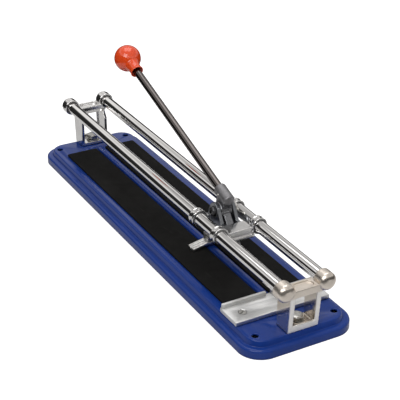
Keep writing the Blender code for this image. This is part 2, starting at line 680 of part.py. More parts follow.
def make_lever():
    pivot = (PIVOT_Y, PIVOT_Z)
    wheel = (WHEEL_Y, WHEEL_Z)
    foot_top = foot_low(0) + FOOT_THICK + GAP
    ankle = (FOOT_Y - 1.0, foot_top + 7.0)
    handle_axis = (0, math.cos(HANDLE_ANGLE), math.sin(HANDLE_ANGLE))
    heel = along(-SOCKET_LENGTH + 5)
    toe = along(-5.0)
    pin_spot = along(LOCK_PIN_AT)[1:]

    neck = [(PIVOT_Y - 7.5, PIVOT_Z + 2), (PIVOT_Y + 7.5, PIVOT_Z + 1),
            (toe[1] + 1.5, toe[2] - 2), (heel[1] - 3.0, heel[2] - 2)]
    pieces = [
        rod_mesh(along(-SOCKET_LENGTH), handle_axis, SOCKET_LENGTH, SOCKET_R),
        plate_mesh(neck, -WEB_HALF - 0.7, WEB_HALF + 0.7),
        rod_mesh((-HUB_HALF, *pivot), (1, 0, 0), 2 * HUB_HALF, HUB_R),
        plate_mesh(link_outline(((pivot, HUB_R - 1.5), (ankle, 5.0))), -WEB_HALF, WEB_HALF),
        plate_mesh(link_outline(((pivot, HUB_R - 3.5), (wheel, 4.4))), -FORK_HALF, FORK_HALF),
        box_mesh((-PALM_HALF, FOOT_Y - 5.6, foot_top), (PALM_HALF, FOOT_Y + 5.6, ankle[1] + 1)),
    ]
    cuts = [
        rod_mesh(along(-ROD_IN_SOCKET - GAP), handle_axis, ROD_IN_SOCKET + 3, ROD_R + GAP),
        rod_mesh((-HUB_HALF - 1, *pivot), (1, 0, 0), 2 * HUB_HALF + 2, PIVOT_R + GAP, sides=24),
        # Slot that holds the wheel, and the hole of its pin.
        plate_mesh(link_outline(((wheel, WHEEL_R + 0.8), ((WHEEL_Y - 20, WHEEL_Z - 22), 12.0))),
                   -FORK_SLOT, FORK_SLOT),
        rod_mesh((-10, *wheel), (1, 0, 0), 20, WHEEL_PIN_R + GAP, sides=16),
        # Cross hole for the pin that locks the rod.
        rod_mesh((-12, *pin_spot), (1, 0, 0), 24, LOCK_PIN_R + GAP, sides=16),
    ]
    for dy in (-1, 1):
        cuts.append(rod_mesh((0, FOOT_Y + dy * FOOT_SCREW_Y, foot_top - 1), (0, 0, 1), 7.0,
                             FOOT_SCREW_R + GAP, sides=16))
    join("lever_casting", GREY_CAST, pieces, cuts)

    join("handle_rod", STEEL,
         [rod_mesh(along(-ROD_IN_SOCKET), handle_axis,
                   ROD_LENGTH - KNOB_SKIRT + KNOB_BORE_DEPTH + ROD_IN_SOCKET, ROD_R)],
         [rod_mesh((-12, *pin_spot), (1, 0, 0), 24, LOCK_PIN_R + GAP, sides=16)])
    pin = rod_mesh((-SOCKET_R - 0.2, *pin_spot), (1, 0, 0), 2 * SOCKET_R + 0.4, LOCK_PIN_R,
                   sides=16)
    finish(pin, "rod_lock_pin", ZINC)

    # Ball knob with a flared skirt, bored for the rod.
    start = ROD_LENGTH - KNOB_SKIRT
    bore = ROD_R + GAP
    cup = [(0.0, KNOB_BORE_DEPTH + GAP), (bore, KNOB_BORE_DEPTH + GAP), (bore, 3.2), (6.3, 2.4)]
    skirt = [(6.9, 0.0), (7.7, 0.1), (7.9, 0.9), (7.4, 2.6), (7.2, 5.0), (7.5, 8.0), (8.4, 11.0)]
    join_angle = math.degrees(math.acos(9.2 / KNOB_R))
    ball = [(r, KNOB_SKIRT + h) for r, h in arc((0, 0), KNOB_R, -join_angle, 90, 18)]
    ball[-1] = (0.0, KNOB_SKIRT + KNOB_R)
    knob = turned_mesh(cup + skirt + ball, start=along(start), axis=handle_axis)
    finish(knob, "ball_knob", ORANGE)

    # Wheel with a bevelled cutting edge, on its pin.
    edge = [(WHEEL_PIN_R + GAP, -WHEEL_THICK / 2), (WHEEL_R - WHEEL_EDGE, -WHEEL_THICK / 2),
            (WHEEL_R, 0.0), (WHEEL_R - WHEEL_EDGE, WHEEL_THICK / 2),
            (WHEEL_PIN_R + GAP, WHEEL_THICK / 2), (WHEEL_PIN_R + GAP, -WHEEL_THICK / 2)]
    finish(turned_mesh(edge, start=(0, *wheel), axis=(1, 0, 0), sides=40),
           "scoring_wheel", TOOL_STEEL)
    head = turned_mesh([(2.8, 0), (2.8, 1.0), (2.0, 1.8), (0, 2.0)],
                       start=(-FORK_HALF - GAP, *wheel), axis=(-1, 0, 0), sides=20)
    shank = rod_mesh((-FORK_HALF - GAP - 0.3, *wheel), (1, 0, 0), 2 * FORK_HALF + 4.0,
                     WHEEL_PIN_R, sides=16)
    join("wheel_screw", ZINC, [head, shank])
    nut = hex_mesh((FORK_HALF + GAP, *wheel), (1, 0, 0), 5.5, 2.4)
    join("wheel_nut", ZINC, [nut],
         [rod_mesh((0, *wheel), (1, 0, 0), 12, WHEEL_PIN_R + GAP, sides=16)])


def make_foot():
    """Breaking foot: a bar that droops towards both tips, held by two screws."""
    bm = bmesh.new()
    half = FOOT_WIDTH / 2
    sections = []
    for x in (-FOOT_TIP, -WEB_HALF - 1.5, WEB_HALF + 1.5, FOOT_TIP):
        low = foot_low(max(abs(x) - WEB_HALF - 1.5, 0) if abs(x) < FOOT_TIP else x)
        top = low + FOOT_THICK
        ring = [(-half, low), (half, low), (half, top), (-half, top)]
        sections.append([bm.verts.new((x, FOOT_Y + y, z)) for y, z in ring])
    for first, second in zip(sections, sections[1:]):
        for k in range(4):
            j = (k + 1) % 4
            bm.faces.new((first[k], first[j], second[j], second[k]))
    bm.faces.new(sections[0])
    bm.faces.new(sections[-1])
    bar = mesh_from(bm)
    cuts = []
    for dy in (-1, 1):
        cuts.append(rod_mesh((0, FOOT_Y + dy * FOOT_SCREW_Y, FOOT_TIP_LOW), (0, 0, 1), 12,
                             FOOT_SCREW_R + GAP, sides=16))
    join("breaking_foot", ZINC, [bar], cuts)
    low = foot_low(0)
    for dy, word in ((-1, "near"), (1, "far")):
        spot = (0, FOOT_Y + dy * FOOT_SCREW_Y)
        head = turned_mesh([(2.3, 0), (2.3, 0.7), (1.6, 1.2), (0, 1.3)],
                           start=(*spot, low - GAP), axis=(0, 0, -1), sides=16)
        shank = rod_mesh((*spot, low - GAP - 0.4), (0, 0, 1), FOOT_THICK + 6.0, FOOT_SCREW_R,
                         sides=16)
        join("foot_screw_" + word, ZINC, [head, shank])


make_base()
make_fence()
make_rails()
make_bracket(-1, "near")
make_bracket(1, "far")
make_carriage()
make_lever()
make_foot()
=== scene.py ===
"""Tile cutter: detailed pieces, materials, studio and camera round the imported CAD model.

The frame is the CAD's: X across the base, Y along the rails with the fence at the -Y end, Z up.
Shapes are written in millimetres and become metres through MM.
"""

import json
import math
from math import cos, pi, radians, sin

import bmesh
import bpy
from mathutils import Matrix, Vector, noise

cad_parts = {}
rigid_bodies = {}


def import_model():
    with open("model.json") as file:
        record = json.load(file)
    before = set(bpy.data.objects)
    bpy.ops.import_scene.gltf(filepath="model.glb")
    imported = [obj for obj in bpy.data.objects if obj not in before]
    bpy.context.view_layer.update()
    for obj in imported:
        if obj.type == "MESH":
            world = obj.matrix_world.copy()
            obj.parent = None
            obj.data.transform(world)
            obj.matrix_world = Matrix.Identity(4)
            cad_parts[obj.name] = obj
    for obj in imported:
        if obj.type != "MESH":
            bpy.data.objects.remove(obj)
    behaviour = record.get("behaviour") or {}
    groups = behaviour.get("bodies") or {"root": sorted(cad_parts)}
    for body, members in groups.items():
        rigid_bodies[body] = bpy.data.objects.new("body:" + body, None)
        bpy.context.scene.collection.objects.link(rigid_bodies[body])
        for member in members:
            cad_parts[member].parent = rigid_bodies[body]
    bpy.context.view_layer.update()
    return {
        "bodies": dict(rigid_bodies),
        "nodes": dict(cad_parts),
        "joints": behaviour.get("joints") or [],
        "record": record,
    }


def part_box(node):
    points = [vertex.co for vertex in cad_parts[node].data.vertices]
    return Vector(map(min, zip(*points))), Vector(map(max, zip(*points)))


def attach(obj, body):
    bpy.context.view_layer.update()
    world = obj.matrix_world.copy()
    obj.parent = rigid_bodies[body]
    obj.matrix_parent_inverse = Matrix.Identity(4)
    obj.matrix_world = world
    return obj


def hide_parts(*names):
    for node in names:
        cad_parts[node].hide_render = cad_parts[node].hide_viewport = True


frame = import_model()

MM = 0.001
GAP = 0.3           # clearance between neighbouring pieces
X_AXIS, Y_AXIS, Z_AXIS = (1, 0, 0), (0, 1, 0), (0, 0, 1)
SIDES = ((-1, "left"), (1, "right"))
ENDS = ((-1, "near"), (1, "far"))


# ---- measures in millimetres, from the CAD where it has them

def box_mm(node):
    """Lowest corner, highest corner and middle of a CAD node, in millimetres."""
    low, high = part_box(node)
    return low / MM, high / MM, (low + high) / 2 / MM


RAIL_LOW, RAIL_HIGH, RAIL_MIDDLE = box_mm("rail_right")
RAIL_R = (RAIL_HIGH.x - RAIL_LOW.x) / 2
RAIL_X = RAIL_MIDDLE.x
RAIL_Z = RAIL_MIDDLE.z
RAIL_HALF = RAIL_HIGH.y

BASE_HIGH = box_mm("base_pan")[1]
BASE_HALF_X = BASE_HIGH.x
BASE_HALF_Y = BASE_HIGH.y
PAD_LOW, PAD_HIGH, PAD_MIDDLE = box_mm("pad_right")
BED_TOP = PAD_LOW.z - GAP
SHEET = 1.5         # thickness of the pressed steel
BASE_CORNER = 26.0
HOLE_X, HOLE_Y, HOLE_R = 47.4, 244.0, 3.5
RIDGE_NEAR, RIDGE_FAR, RIDGE_TOP = -184.0, 224.0, 19.9

FENCE_LOW, FENCE_HIGH, _ = box_mm("fence_bar")
FENCE_SCREW = box_mm("fence_screw_right")[2]
BOLT_Y = box_mm("far_bracket_bolt")[2].y
GRUB_Y = box_mm("far_grub_screw_left")[2].y
BRACKET_LOW = box_mm("far_bracket")[0]
BRACKET_FLOOR = 4.0

# Radii of the holes that screws and pins pass through.
FENCE_HOLE, BOLT_HOLE, PIVOT_HOLE, FOOT_HOLE, PIN_HOLE = 2.3, 4.3, 3.3, 1.55, 1.8

EYE_FAR = box_mm("slide_bush_far_left")[2].y
EYE_NEAR = box_mm("slide_bush_near_left")[2].y
EYE_HALF = 4.6
EYE_R, EYE_NECK, EYE_BORE = 9.4, 8.95, 8.0
FRAME_TOP = 69.0
FRAME_LOW = 58.5
CHEEK_IN = 7.4
CHEEK_OUT = 11.4

PIVOT_Y, PIVOT_Z = box_mm("pivot_nut")[2].yz
WHEEL_Y, WHEEL_Z = box_mm("scoring_wheel")[2].yz
WHEEL_R = box_mm("scoring_wheel")[1].z - WHEEL_Z
WHEEL_ARM = 4.2     # half the width of the arm that holds the wheel
FOOT_LOW, FOOT_HIGH, FOOT_MIDDLE = box_mm("breaking_foot")
FOOT_THICK = 2.6
FOOT_RISE = 3.8     # from the drooping tips up to the middle
FOOT_SCREW = 2.9    # distance of each screw from the foot's middle

HANDLE_ANGLE = radians(18.3)
HANDLE_AXIS = Vector((0, cos(HANDLE_ANGLE), sin(HANDLE_ANGLE)))
SOCKET_MOUTH = Vector((0, -88.9, 99.8))
SOCKET_LENGTH = 23.0
ROD_R = 4.5
ROD_LENGTH = 233.0
ROD_IN_SOCKET = 17.0
KNOB_R = 15.92
KNOB_SKIRT = 26.8
KNOB_BORE = 14.0


def along(distance):
    """Point on the handle's line, measured from the mouth of the socket."""
    return SOCKET_MOUTH + HANDLE_AXIS * distance


# ---- mesh helpers

def mesh_from(bm):
    """Turn a bmesh in millimetres into a mesh in metres."""
    bmesh.ops.scale(bm, vec=(MM, MM, MM), verts=bm.verts)
    bmesh.ops.recalc_face_normals(bm, faces=bm.faces)
    mesh = bpy.data.meshes.new("piece")
    bm.to_mesh(mesh)
    bm.free()
    return mesh


def new_object(name, data):
    """Object in the scene that holds a mesh, a light or a camera."""
    obj = bpy.data.objects.new(name, data)
    bpy.context.scene.collection.objects.link(obj)
    return obj


def piece_from(name, mesh, sharp):
    """Object in the scene with smooth shading broken at sharp edges."""
    mesh.shade_smooth()
    mesh.set_sharp_from_angle(angle=radians(sharp))
    return new_object(name, mesh)


def turn_to(start, axis):
    """Placement that takes +Z at the origin to an axis at a start point."""
    turn = Vector(Z_AXIS).rotation_difference(Vector(axis)).to_matrix().to_4x4()
    return Matrix.Translation(Vector(start)) @ turn


def soften(points, radius, steps=3, closed=True):
    """Round the corners of an outline."""
    result = []
    for k, point in enumerate(points):
        corner = Vector(point)
        if not closed and k in (0, len(points) - 1):
            result.append(tuple(corner))
            continue
        back = Vector(points[k - 1]) - corner
        ahead = Vector(points[(k + 1) % len(points)]) - corner
        cut = min(radius, back.length * 0.45, ahead.length * 0.45)
        first = corner + back.normalized() * cut
        last = corner + ahead.normalized() * cut
        for step in range(steps + 1):
            t = step / steps
            result.append(tuple(first * (1 - t) ** 2 + corner * 2 * t * (1 - t) + last * t * t))
    return result


def arc(centre, radius, start, end, steps):
    """Points on an arc, angles in degrees."""
    points = []
    for k in range(steps + 1):
        angle = radians(start + (end - start) * k / steps)
        points.append((centre[0] + radius * cos(angle), centre[1] + radius * sin(angle)))
    return points


def turned(profile, start, axis, steps=64, ring=False, shape=None):
    """Solid of revolution of (radius, height) points. A ring profile closes on itself.
    shape(radius, height, angle) may change the radius round the axis."""
    bm = bmesh.new()
    loops = []
    for radius, height in profile:
        if radius < 1e-6:
            loops.append([bm.verts.new((0, 0, height))])
            continue
        loop = []
        for k in range(steps):
            angle = 2 * pi * k / steps
            r = shape(radius, height, angle) if shape else radius
            loop.append(bm.verts.new((r * cos(angle), r * sin(angle), height)))
        loops.append(loop)
    pairs = list(zip(loops, loops[1:]))
    if ring:
        pairs.append((loops[-1], loops[0]))
    for low, high in pairs:
        for k in range(steps):
            j = (k + 1) % steps
            face = []
            for vert in (low[k % len(low)], low[j % len(low)],
                         high[j % len(high)], high[k % len(high)]):
                if vert not in face:
                    face.append(vert)
            if len(face) > 2:
                bm.faces.new(face)
    if not ring:
        for loop in (loops[0], loops[-1]):
            if len(loop) > 1:
                bm.faces.new(loop)
    bmesh.ops.transform(bm, matrix=turn_to(start, axis), verts=bm.verts)
    return mesh_from(bm)


def hexagon(across):
    """Shape function that trims a turned piece to a hexagon."""
    def trim(radius, height, angle):
        off = (angle % (pi / 3)) - pi / 6
        return min(radius, across / 2 / cos(off))
    return trim


def thread(pitch, depth, low, high):
    """Shape function that cuts a screw thread between two heights."""
    def groove(radius, height, angle):
        if not low <= height <= high:
            return radius
        turn = (height / pitch - angle / (2 * pi)) % 1.0
        fade = min(1.0, (height - low) / pitch, (high - height) / pitch)
        return radius - depth * fade * (1 - abs(2 * turn - 1))
    return groove


def round_edges(bm, edges, radius):
    bmesh.ops.bevel(bm, geom=edges, offset=radius, segments=3, profile=0.5,
                    affect="EDGES", clamp_overlap=True)


def with_socket(cut, across, radius, below=math.inf):
    """Shape function: a hexagon within a radius and below a height, a thread elsewhere."""
    trim = hexagon(across)
    return lambda r, h, a: trim(r, h, a) if r < radius and h < below else cut(r, h, a)


def block(low, high, edge=0.0):
    """Box between two corners, with rounded edges."""
    bm = bmesh.new()
    bmesh.ops.create_cube(bm, size=1.0)
    bmesh.ops.scale(bm, vec=[b - a for a, b in zip(low, high)], verts=bm.verts)
    bmesh.ops.translate(bm, vec=[(a + b) / 2 for a, b in zip(low, high)], verts=bm.verts)
    if edge:
        round_edges(bm, bm.edges[:], edge)
    return mesh_from(bm)


def plate(outline, low, high, edge=0.0):
    """Outline of (y, z) points with a thickness across X, the two rims rounded."""
    bm = bmesh.new()
    face = bm.faces.new([bm.verts.new((low, y, z)) for y, z in outline])
    grown = bmesh.ops.extrude_face_region(bm, geom=[face])
    moved = [v for v in grown["geom"] if isinstance(v, bmesh.types.BMVert)]
    bmesh.ops.translate(bm, vec=(high - low, 0, 0), verts=moved)
    if edge:
        round_edges(bm, [e for e in bm.edges if abs(e.verts[0].co.x - e.verts[1].co.x) < 1e-6], edge)
    return mesh_from(bm)


def link_outline(ends, steps=20):
    """Convex outline round two circles, each (centre, radius)."""
    (c0, r0), (c1, r1) = ends
    angle = math.degrees(math.atan2(c1[1] - c0[1], c1[0] - c0[0]))
    lean = math.degrees(math.acos((r0 - r1) / math.dist(c0, c1)))
    return (arc(c1, r1, angle - lean, angle + lean, steps)
            + arc(c0, r0, angle + lean, angle + 360 - lean, steps))


def loft(sections):
    """Solid through closed sections, each a list of (x, y, z) points."""
    bm = bmesh.new()
    loops = [[bm.verts.new(p) for p in section] for section in sections]
    for low, high in zip(loops, loops[1:]):
        for k in range(len(low)):
            j = (k + 1) % len(low)
            bm.faces.new((low[k], low[j], high[j], high[k]))
    bm.faces.new(loops[0])
    bm.faces.new(loops[-1])
    return mesh_from(bm)


def applied(obj):
    """Replace an object's mesh with its mesh after modifiers."""
    graph = bpy.context.evaluated_depsgraph_get()
    mesh = bpy.data.meshes.new_from_object(obj.evaluated_get(graph))
    obj.modifiers.clear()
    obj.data = mesh
    return obj


def combine(obj, meshes, operation):
    """Boolean with the meshes, one at a time."""
    for mesh in meshes:
        tool = new_object("tool", mesh)
        step = obj.modifiers.new("step", "BOOLEAN")
        step.operation = operation
        step.solver = "MANIFOLD"
        step.object = tool
        applied(obj)
        bpy.data.objects.remove(tool)
    return obj


def mesh_of(obj):
    """Take the mesh out of a helper object and remove the object."""
    mesh = obj.data
    bpy.data.objects.remove(obj)
    return mesh


def carved(mesh, cutters):
    """Mesh with the cutters taken away from it."""
    return mesh_of(combine(new_object("carved", mesh), cutters, "DIFFERENCE"))


def cast(solids, cavities, bores, voxel, passes):
    """Casting: solids run together with soft corners, then crisp machined bores."""
    obj = combine(new_object("cast", solids[0]), solids[1:], "UNION")
    combine(obj, cavities, "DIFFERENCE")
    remesh = obj.modifiers.new("remesh", "REMESH")
    remesh.mode = "VOXEL"
    remesh.voxel_size = voxel * MM
    smooth = obj.modifiers.new("smooth", "SMOOTH")
    smooth.factor = 0.5
    smooth.iterations = passes
    return mesh_of(combine(applied(obj), bores, "DIFFERENCE"))


def bar(start, axis, length, radius, steps=64, chamfer=0.0):
    """Round bar from a start point, with chamfered ends."""
    if not chamfer:
        return turned([(radius, 0), (radius, length)], start, axis, steps)
    profile = [(radius - chamfer, 0), (radius, chamfer),
               (radius, length - chamfer), (radius - chamfer, length)]
    return turned(soften(profile, chamfer * 0.7, 3, closed=False), start, axis, steps)


# ---- materials

class Tree:
    """The shader nodes of a material or a world."""

    def __init__(self, owner):
        owner.use_nodes = True
        self.nodes = owner.node_tree.nodes
        self.links = owner.node_tree.links

    def feed(self, socket, value):
        """Link an output to a socket, or give the socket a fixed value."""
        if isinstance(value, bpy.types.NodeSocket):
            self.links.new(value, socket)
        else:
            socket.default_value = value

    def fill(self, node, *values, **named):
        """Feed a node's inputs, in order or by name."""
        for socket, value in zip(node.inputs, values):
            self.feed(socket, value)
        for name, value in named.items():
            self.feed(node.inputs[name.replace("_", " ")], value)
        return node

    def add(self, kind, *values, **named):
        """New node with its inputs fed."""
        return self.fill(self.nodes.new("ShaderNode" + kind), *values, **named)

    def math(self, operation, *values):
        """Arithmetic on outputs and numbers."""
        node = self.add("Math", *values)
        node.operation = operation
        return node.outputs[0]

    def ramp(self, value, low, high, to_low=0.0, to_high=1.0):
        """Value between two limits, mapped to another span."""
        node = self.add("MapRange", Value=value, From_Min=low, From_Max=high, To_Min=to_low,
                        To_Max=to_high)
        return node.outputs["Result"]


class Look(Tree):
    """A Principled material and the pattern nodes that drive it."""

    def __init__(self, name, colour, metallic, roughness, **sockets):
        self.name = name
        self.mat = bpy.data.materials.new(name)
        super().__init__(self.mat)
        self.shader = self.fill(self.nodes["Principled BSDF"], Base_Color=(*colour, 1),
                                Metallic=metallic, Roughness=roughness, **sockets)
        self.colour = colour
        self.roughness = roughness
        self.coordinates = self.add("TexCoord").outputs["Object"]

    def noise(self, scale, detail=3.0, rough=0.5, stretch=(1, 1, 1)):
        """Noise value with scale in cells per metre."""
        spaced = self.add("Mapping", Scale=stretch, Vector=self.coordinates).outputs["Vector"]
        node = self.add("TexNoise", Scale=scale, Detail=detail, Roughness=rough, Vector=spaced)
        return node.outputs["Fac"]

    def cells(self, scale):
        """Distance to the nearest cell point, with scale in cells per metre."""
        return self.add("TexVoronoi", Scale=scale, Vector=self.coordinates).outputs["Distance"]

    def height(self, axis):
        """One of the object coordinates, in metres."""
        return self.add("SeparateXYZ", self.coordinates).outputs[axis]

    def edges(self, radius, sharp=0.9):
        """Mask that is 1 on outer edges and 0 on flat faces."""
        bevel = self.add("Bevel", Radius=radius * MM)
        bevel.samples = 4
        face = self.add("NewGeometry").outputs["Normal"]
        dot = self.add("VectorMath", bevel.outputs["Normal"], face)
        dot.operation = "DOT_PRODUCT"
        return self.ramp(dot.outputs["Value"], 0.995, sharp)

    def crevices(self, distance):
        """Mask that is 1 in tight corners and 0 on open faces."""
        node = self.add("AmbientOcclusion", Distance=distance * MM)
        node.samples = 4
        return self.ramp(node.outputs["AO"], 0.85, 0.25)

    def tint(self, mask, colour):
        """Mix a colour over the base colour by a mask."""
        base = self.shader.inputs["Base Color"]
        under = base.links[0].from_socket if base.links else (*self.colour, 1)
        node = self.add("Mix")
        node.data_type = "RGBA"
        for index, value in ((0, mask), (6, under), (7, (*colour, 1))):
            self.feed(node.inputs[index], value)
        self.links.new(node.outputs[2], base)

    def gloss(self, mask, amount):
        """Add a share of a mask to the roughness."""
        rough = self.shader.inputs["Roughness"]
        under = rough.links[0].from_socket if rough.links else self.roughness
        self.links.new(self.math("ADD", under, self.math("MULTIPLY", mask, amount)), rough)

    def bump(self, value, distance, strength):
        """Raise the surface by a value, distance in millimetres."""
        node = self.add("Bump", Strength=strength, Distance=distance * MM, Height=value)
        normal = self.shader.inputs["Normal"]
        if normal.links:
            self.links.new(normal.links[0].from_socket, node.inputs["Normal"])
        self.links.new(node.outputs["Normal"], normal)

    def mottle(self, colour, low, high, *pattern):
        """Tint by a noise, as it goes from a low to a high value."""
        self.tint(self.ramp(self.noise(*pattern), low, high), colour)

    def smudge(self, amount, low, high, *pattern):
        """Roughen by a noise, as it goes from a low to a high value."""
        self.gloss(self.ramp(self.noise(*pattern), low, high), amount)

    def paint_corner_shade(self, colour, distance, share):
        """Painted shade: darken the tight corners, found by ambient occlusion, by a share."""
        self.tint(self.math("MULTIPLY", self.crevices(distance), share), colour)


def shade(colour, factor):
    """Colour made darker, or lighter up to full white."""
    return tuple(min(1.0, c * factor) for c in colour)


def blue_enamel():
    look = Look("blue_enamel", (0.0075, 0.036, 0.218), 0.0, 0.15, Coat_Weight=0.3,
                Coat_Roughness=0.03, Specular_IOR_Level=0.16)
    look.mottle((0.011, 0.043, 0.250), 0.35, 0.75, 14, 4)
    # Painted shade: the tight corners are darkened towards a deeper blue.
    look.paint_corner_shade((0.003, 0.012, 0.085), 4, 0.75)
    look.tint(look.math("MULTIPLY", look.edges(0.6), look.ramp(look.noise(260, 5), 0.42, 0.7)),
              (0.07, 0.13, 0.38))
    chips = look.math("MULTIPLY", look.edges(0.35, 0.8),
                      look.ramp(look.noise(420, 6, 0.65), 0.66, 0.72))
    look.tint(chips, (0.30, 0.31, 0.33))
    look.smudge(0.10, 0.4, 0.8, 35, 5)
    look.gloss(look.crevices(5), 0.2)
    look.bump(look.noise(720, 2), 0.03, 0.3)
    return look


def black_foam():
    look = Look("black_foam", (0.0065, 0.0062, 0.0060), 0.0, 0.85, Specular_IOR_Level=0.16)
    look.mottle((0.012, 0.0115, 0.011), 0.45, 0.85, 22, 5, 0.6)
    look.mottle((0.020, 0.019, 0.018), 0.66, 0.8, 130, 3, 0.6, (1.0, 0.12, 1.0))
    look.smudge(0.15, 0.3, 0.8, 60, 4)
    look.bump(look.cells(1900), 0.12, 0.7)
    look.bump(look.noise(520, 4), 0.1, 0.5)
    return look


def chrome(name, colour, rough, stretch, haze):
    """Bright plated bar with polishing lines along one axis."""
    look = Look(name, colour, 1.0, rough)
    lines = look.noise(900, 4, 0.6, stretch)
    look.gloss(look.ramp(lines, 0.35, 0.75), haze)
    look.smudge(haze, 0.55, 0.85, 40, 5, 0.6)
    look.mottle(shade(colour, 0.93), 0.4, 0.8, 30, 4)
    look.bump(lines, 0.012, 0.25)
    return look


def cast_look(name, colour, rough, dark, corner_shade_share=0.6):
    """Plated casting: soft waves, a satin skin and painted shade darkening the corners."""
    look = Look(name, colour, 1.0, rough)
    look.mottle(shade(colour, 0.88), 0.35, 0.75, 45, 4)
    # Painted shade: the tight corners are darkened by the share given.
    look.paint_corner_shade(dark, 3.5, corner_shade_share)
    look.tint(look.ramp(look.edges(0.5), 0.2, 1.0, 0.0, 0.6), shade(colour, 1.12))
    look.smudge(0.14, 0.35, 0.8, 160, 5, 0.6)
    look.gloss(look.crevices(3.5), 0.25)
    look.bump(look.noise(190, 3), 0.12, 0.30)
    look.bump(look.noise(1300, 3), 0.03, 0.25)
    return look


def carriage_chrome():
    """The bright casting of the carriage, with unpolished grey cheeks beside the lever."""
    look = cast_look("carriage_chrome", (0.84, 0.83, 0.82), 0.12, (0.08, 0.08, 0.085), 0.7)
    side = look.math("ABSOLUTE", look.height(0), 0.0)
    cheek = look.ramp(side, 0.0129, 0.0119)
    behind = look.ramp(look.height(1), -0.1175, -0.1162)
    raised = look.ramp(look.height(2), 0.0688, 0.0700)
    cheek = look.math("MULTIPLY", cheek, look.math("MAXIMUM", behind, raised))
    look.tint(cheek, (0.24, 0.25, 0.265))
    look.gloss(cheek, 0.16)
    return look


def near_chrome_painted_light():
    """The near casting, coloured apart from the far casting of the same shape: a painted warm tone on the
    bosses and the beam, and a painted reflection that whitens the window's frame.
    """
    look = cast_look("near_chrome_painted_light", (0.86, 0.785, 0.70), 0.10, (0.20, 0.17, 0.15))
    # The face leans out, so its mask follows the height.
    lean = look.math("ADD", look.height(1),
                     look.math("MULTIPLY", look.height(2), 0.0857))
    frame = look.ramp(lean, -0.2548, -0.2560)
    below = look.ramp(look.height(2), 0.0600, 0.0580)
    frame_reflection = look.math("MULTIPLY", frame, below)
    # Painted reflection: the frame's front face is whitened.
    look.tint(frame_reflection, (0.97, 0.955, 0.935))
    look.gloss(frame_reflection, 0.30)
    look.gloss(look.ramp(look.height(2), 0.0570, 0.0600), 0.20)
    return look


def aluminium():
    look = Look("aluminium", (0.80, 0.80, 0.79), 1.0, 0.40, Anisotropic=0.3)
    lines = look.noise(1700, 5, 0.65, (0.012, 1.0, 1.0))
    look.tint(look.ramp(lines, 0.4, 0.72), (0.62, 0.62, 0.62))
    look.mottle((0.64, 0.64, 0.64), 0.5, 0.85, 30, 5)
    look.tint(look.edges(0.5), (0.92, 0.92, 0.92))
    # Painted shade: the tight corners are darkened.
    look.paint_corner_shade((0.12, 0.12, 0.125), 4, 0.7)
    look.gloss(look.ramp(lines, 0.3, 0.75), 0.16)
    look.bump(lines, 0.02, 0.45)
    return look


def plated(name, colour, rough=0.26):
    """Zinc-plated or plain small hardware."""
    look = Look(name, colour, 1.0, rough)
    look.mottle(shade(colour, 0.74), 0.4, 0.75, 380, 4)
    # Painted shade: the tight corners are darkened.
    look.paint_corner_shade(shade(colour, 0.18), 2, 0.8)
    look.tint(look.edges(0.25), shade(colour, 1.25))
    look.smudge(0.18, 0.35, 0.8, 700, 4)
    look.bump(look.noise(1500, 3), 0.02, 0.4)
    return look


def grey_cast():
    """Sand-like die casting: rougher and slightly less blue on the handle socket, and much lighter low
    down at the ankle.
    """
    look = Look("grey_cast", (0.27, 0.275, 0.29), 0.9, 0.24)
    up = look.ramp(look.height(2), 0.084, 0.098)
    look.tint(up, (0.27, 0.265, 0.275))
    ankle = look.ramp(look.height(2), 0.046, 0.040)
    look.tint(ankle, (0.72, 0.71, 0.70))
    look.tint(look.math("MULTIPLY", look.ramp(look.noise(260, 5, 0.6), 0.45, 0.75), 0.5),
              (0.13, 0.13, 0.135))
    look.tint(look.edges(0.6), (0.36, 0.36, 0.37))
    # Painted shade: the tight corners are darkened.
    look.paint_corner_shade((0.025, 0.026, 0.028), 3, 0.8)
    look.gloss(up, 0.22)
    look.smudge(0.16, 0.3, 0.8, 500, 4)
    look.bump(look.noise(950, 4, 0.6), 0.09, 0.5)
    look.bump(look.noise(200, 2), 0.1, 0.3)
    return look


def tool_steel():
    look = Look("tool_steel", (0.48, 0.48, 0.50), 1.0, 0.2)
    look.mottle((0.30, 0.30, 0.32), 0.4, 0.8, 900, 3)
    look.tint(look.edges(0.2), (0.75, 0.75, 0.76))
    look.smudge(0.15, 0.3, 0.8, 1400, 4)
    look.bump(look.noise(1800, 2), 0.02, 0.3)
    return look


def nylon():
    look = Look("nylon", (0.16, 0.16, 0.165), 0.0, 0.42)
    look.mottle((0.22, 0.22, 0.215), 0.4, 0.8, 300, 4)
    look.smudge(0.15, 0.3, 0.8, 600, 4)
    look.bump(look.noise(1200, 3), 0.03, 0.4)
    return look


def orange_plastic():
    look = Look("orange_plastic", (0.92, 0.088, 0.016), 0.0, 0.12, Coat_Weight=0.5,
                Coat_Roughness=0.05, Subsurface_Weight=0.04, Specular_IOR_Level=0.6)
    look.mottle((0.84, 0.070, 0.013), 0.4, 0.8, 60, 4)
    # Painted shade: the tight corners are darkened.
    look.paint_corner_shade((0.24, 0.010, 0.006), 5, 0.75)
    look.smudge(0.12, 0.45, 0.8, 90, 5, 0.6)
    look.bump(look.noise(520, 2), 0.02, 0.25)
    return look


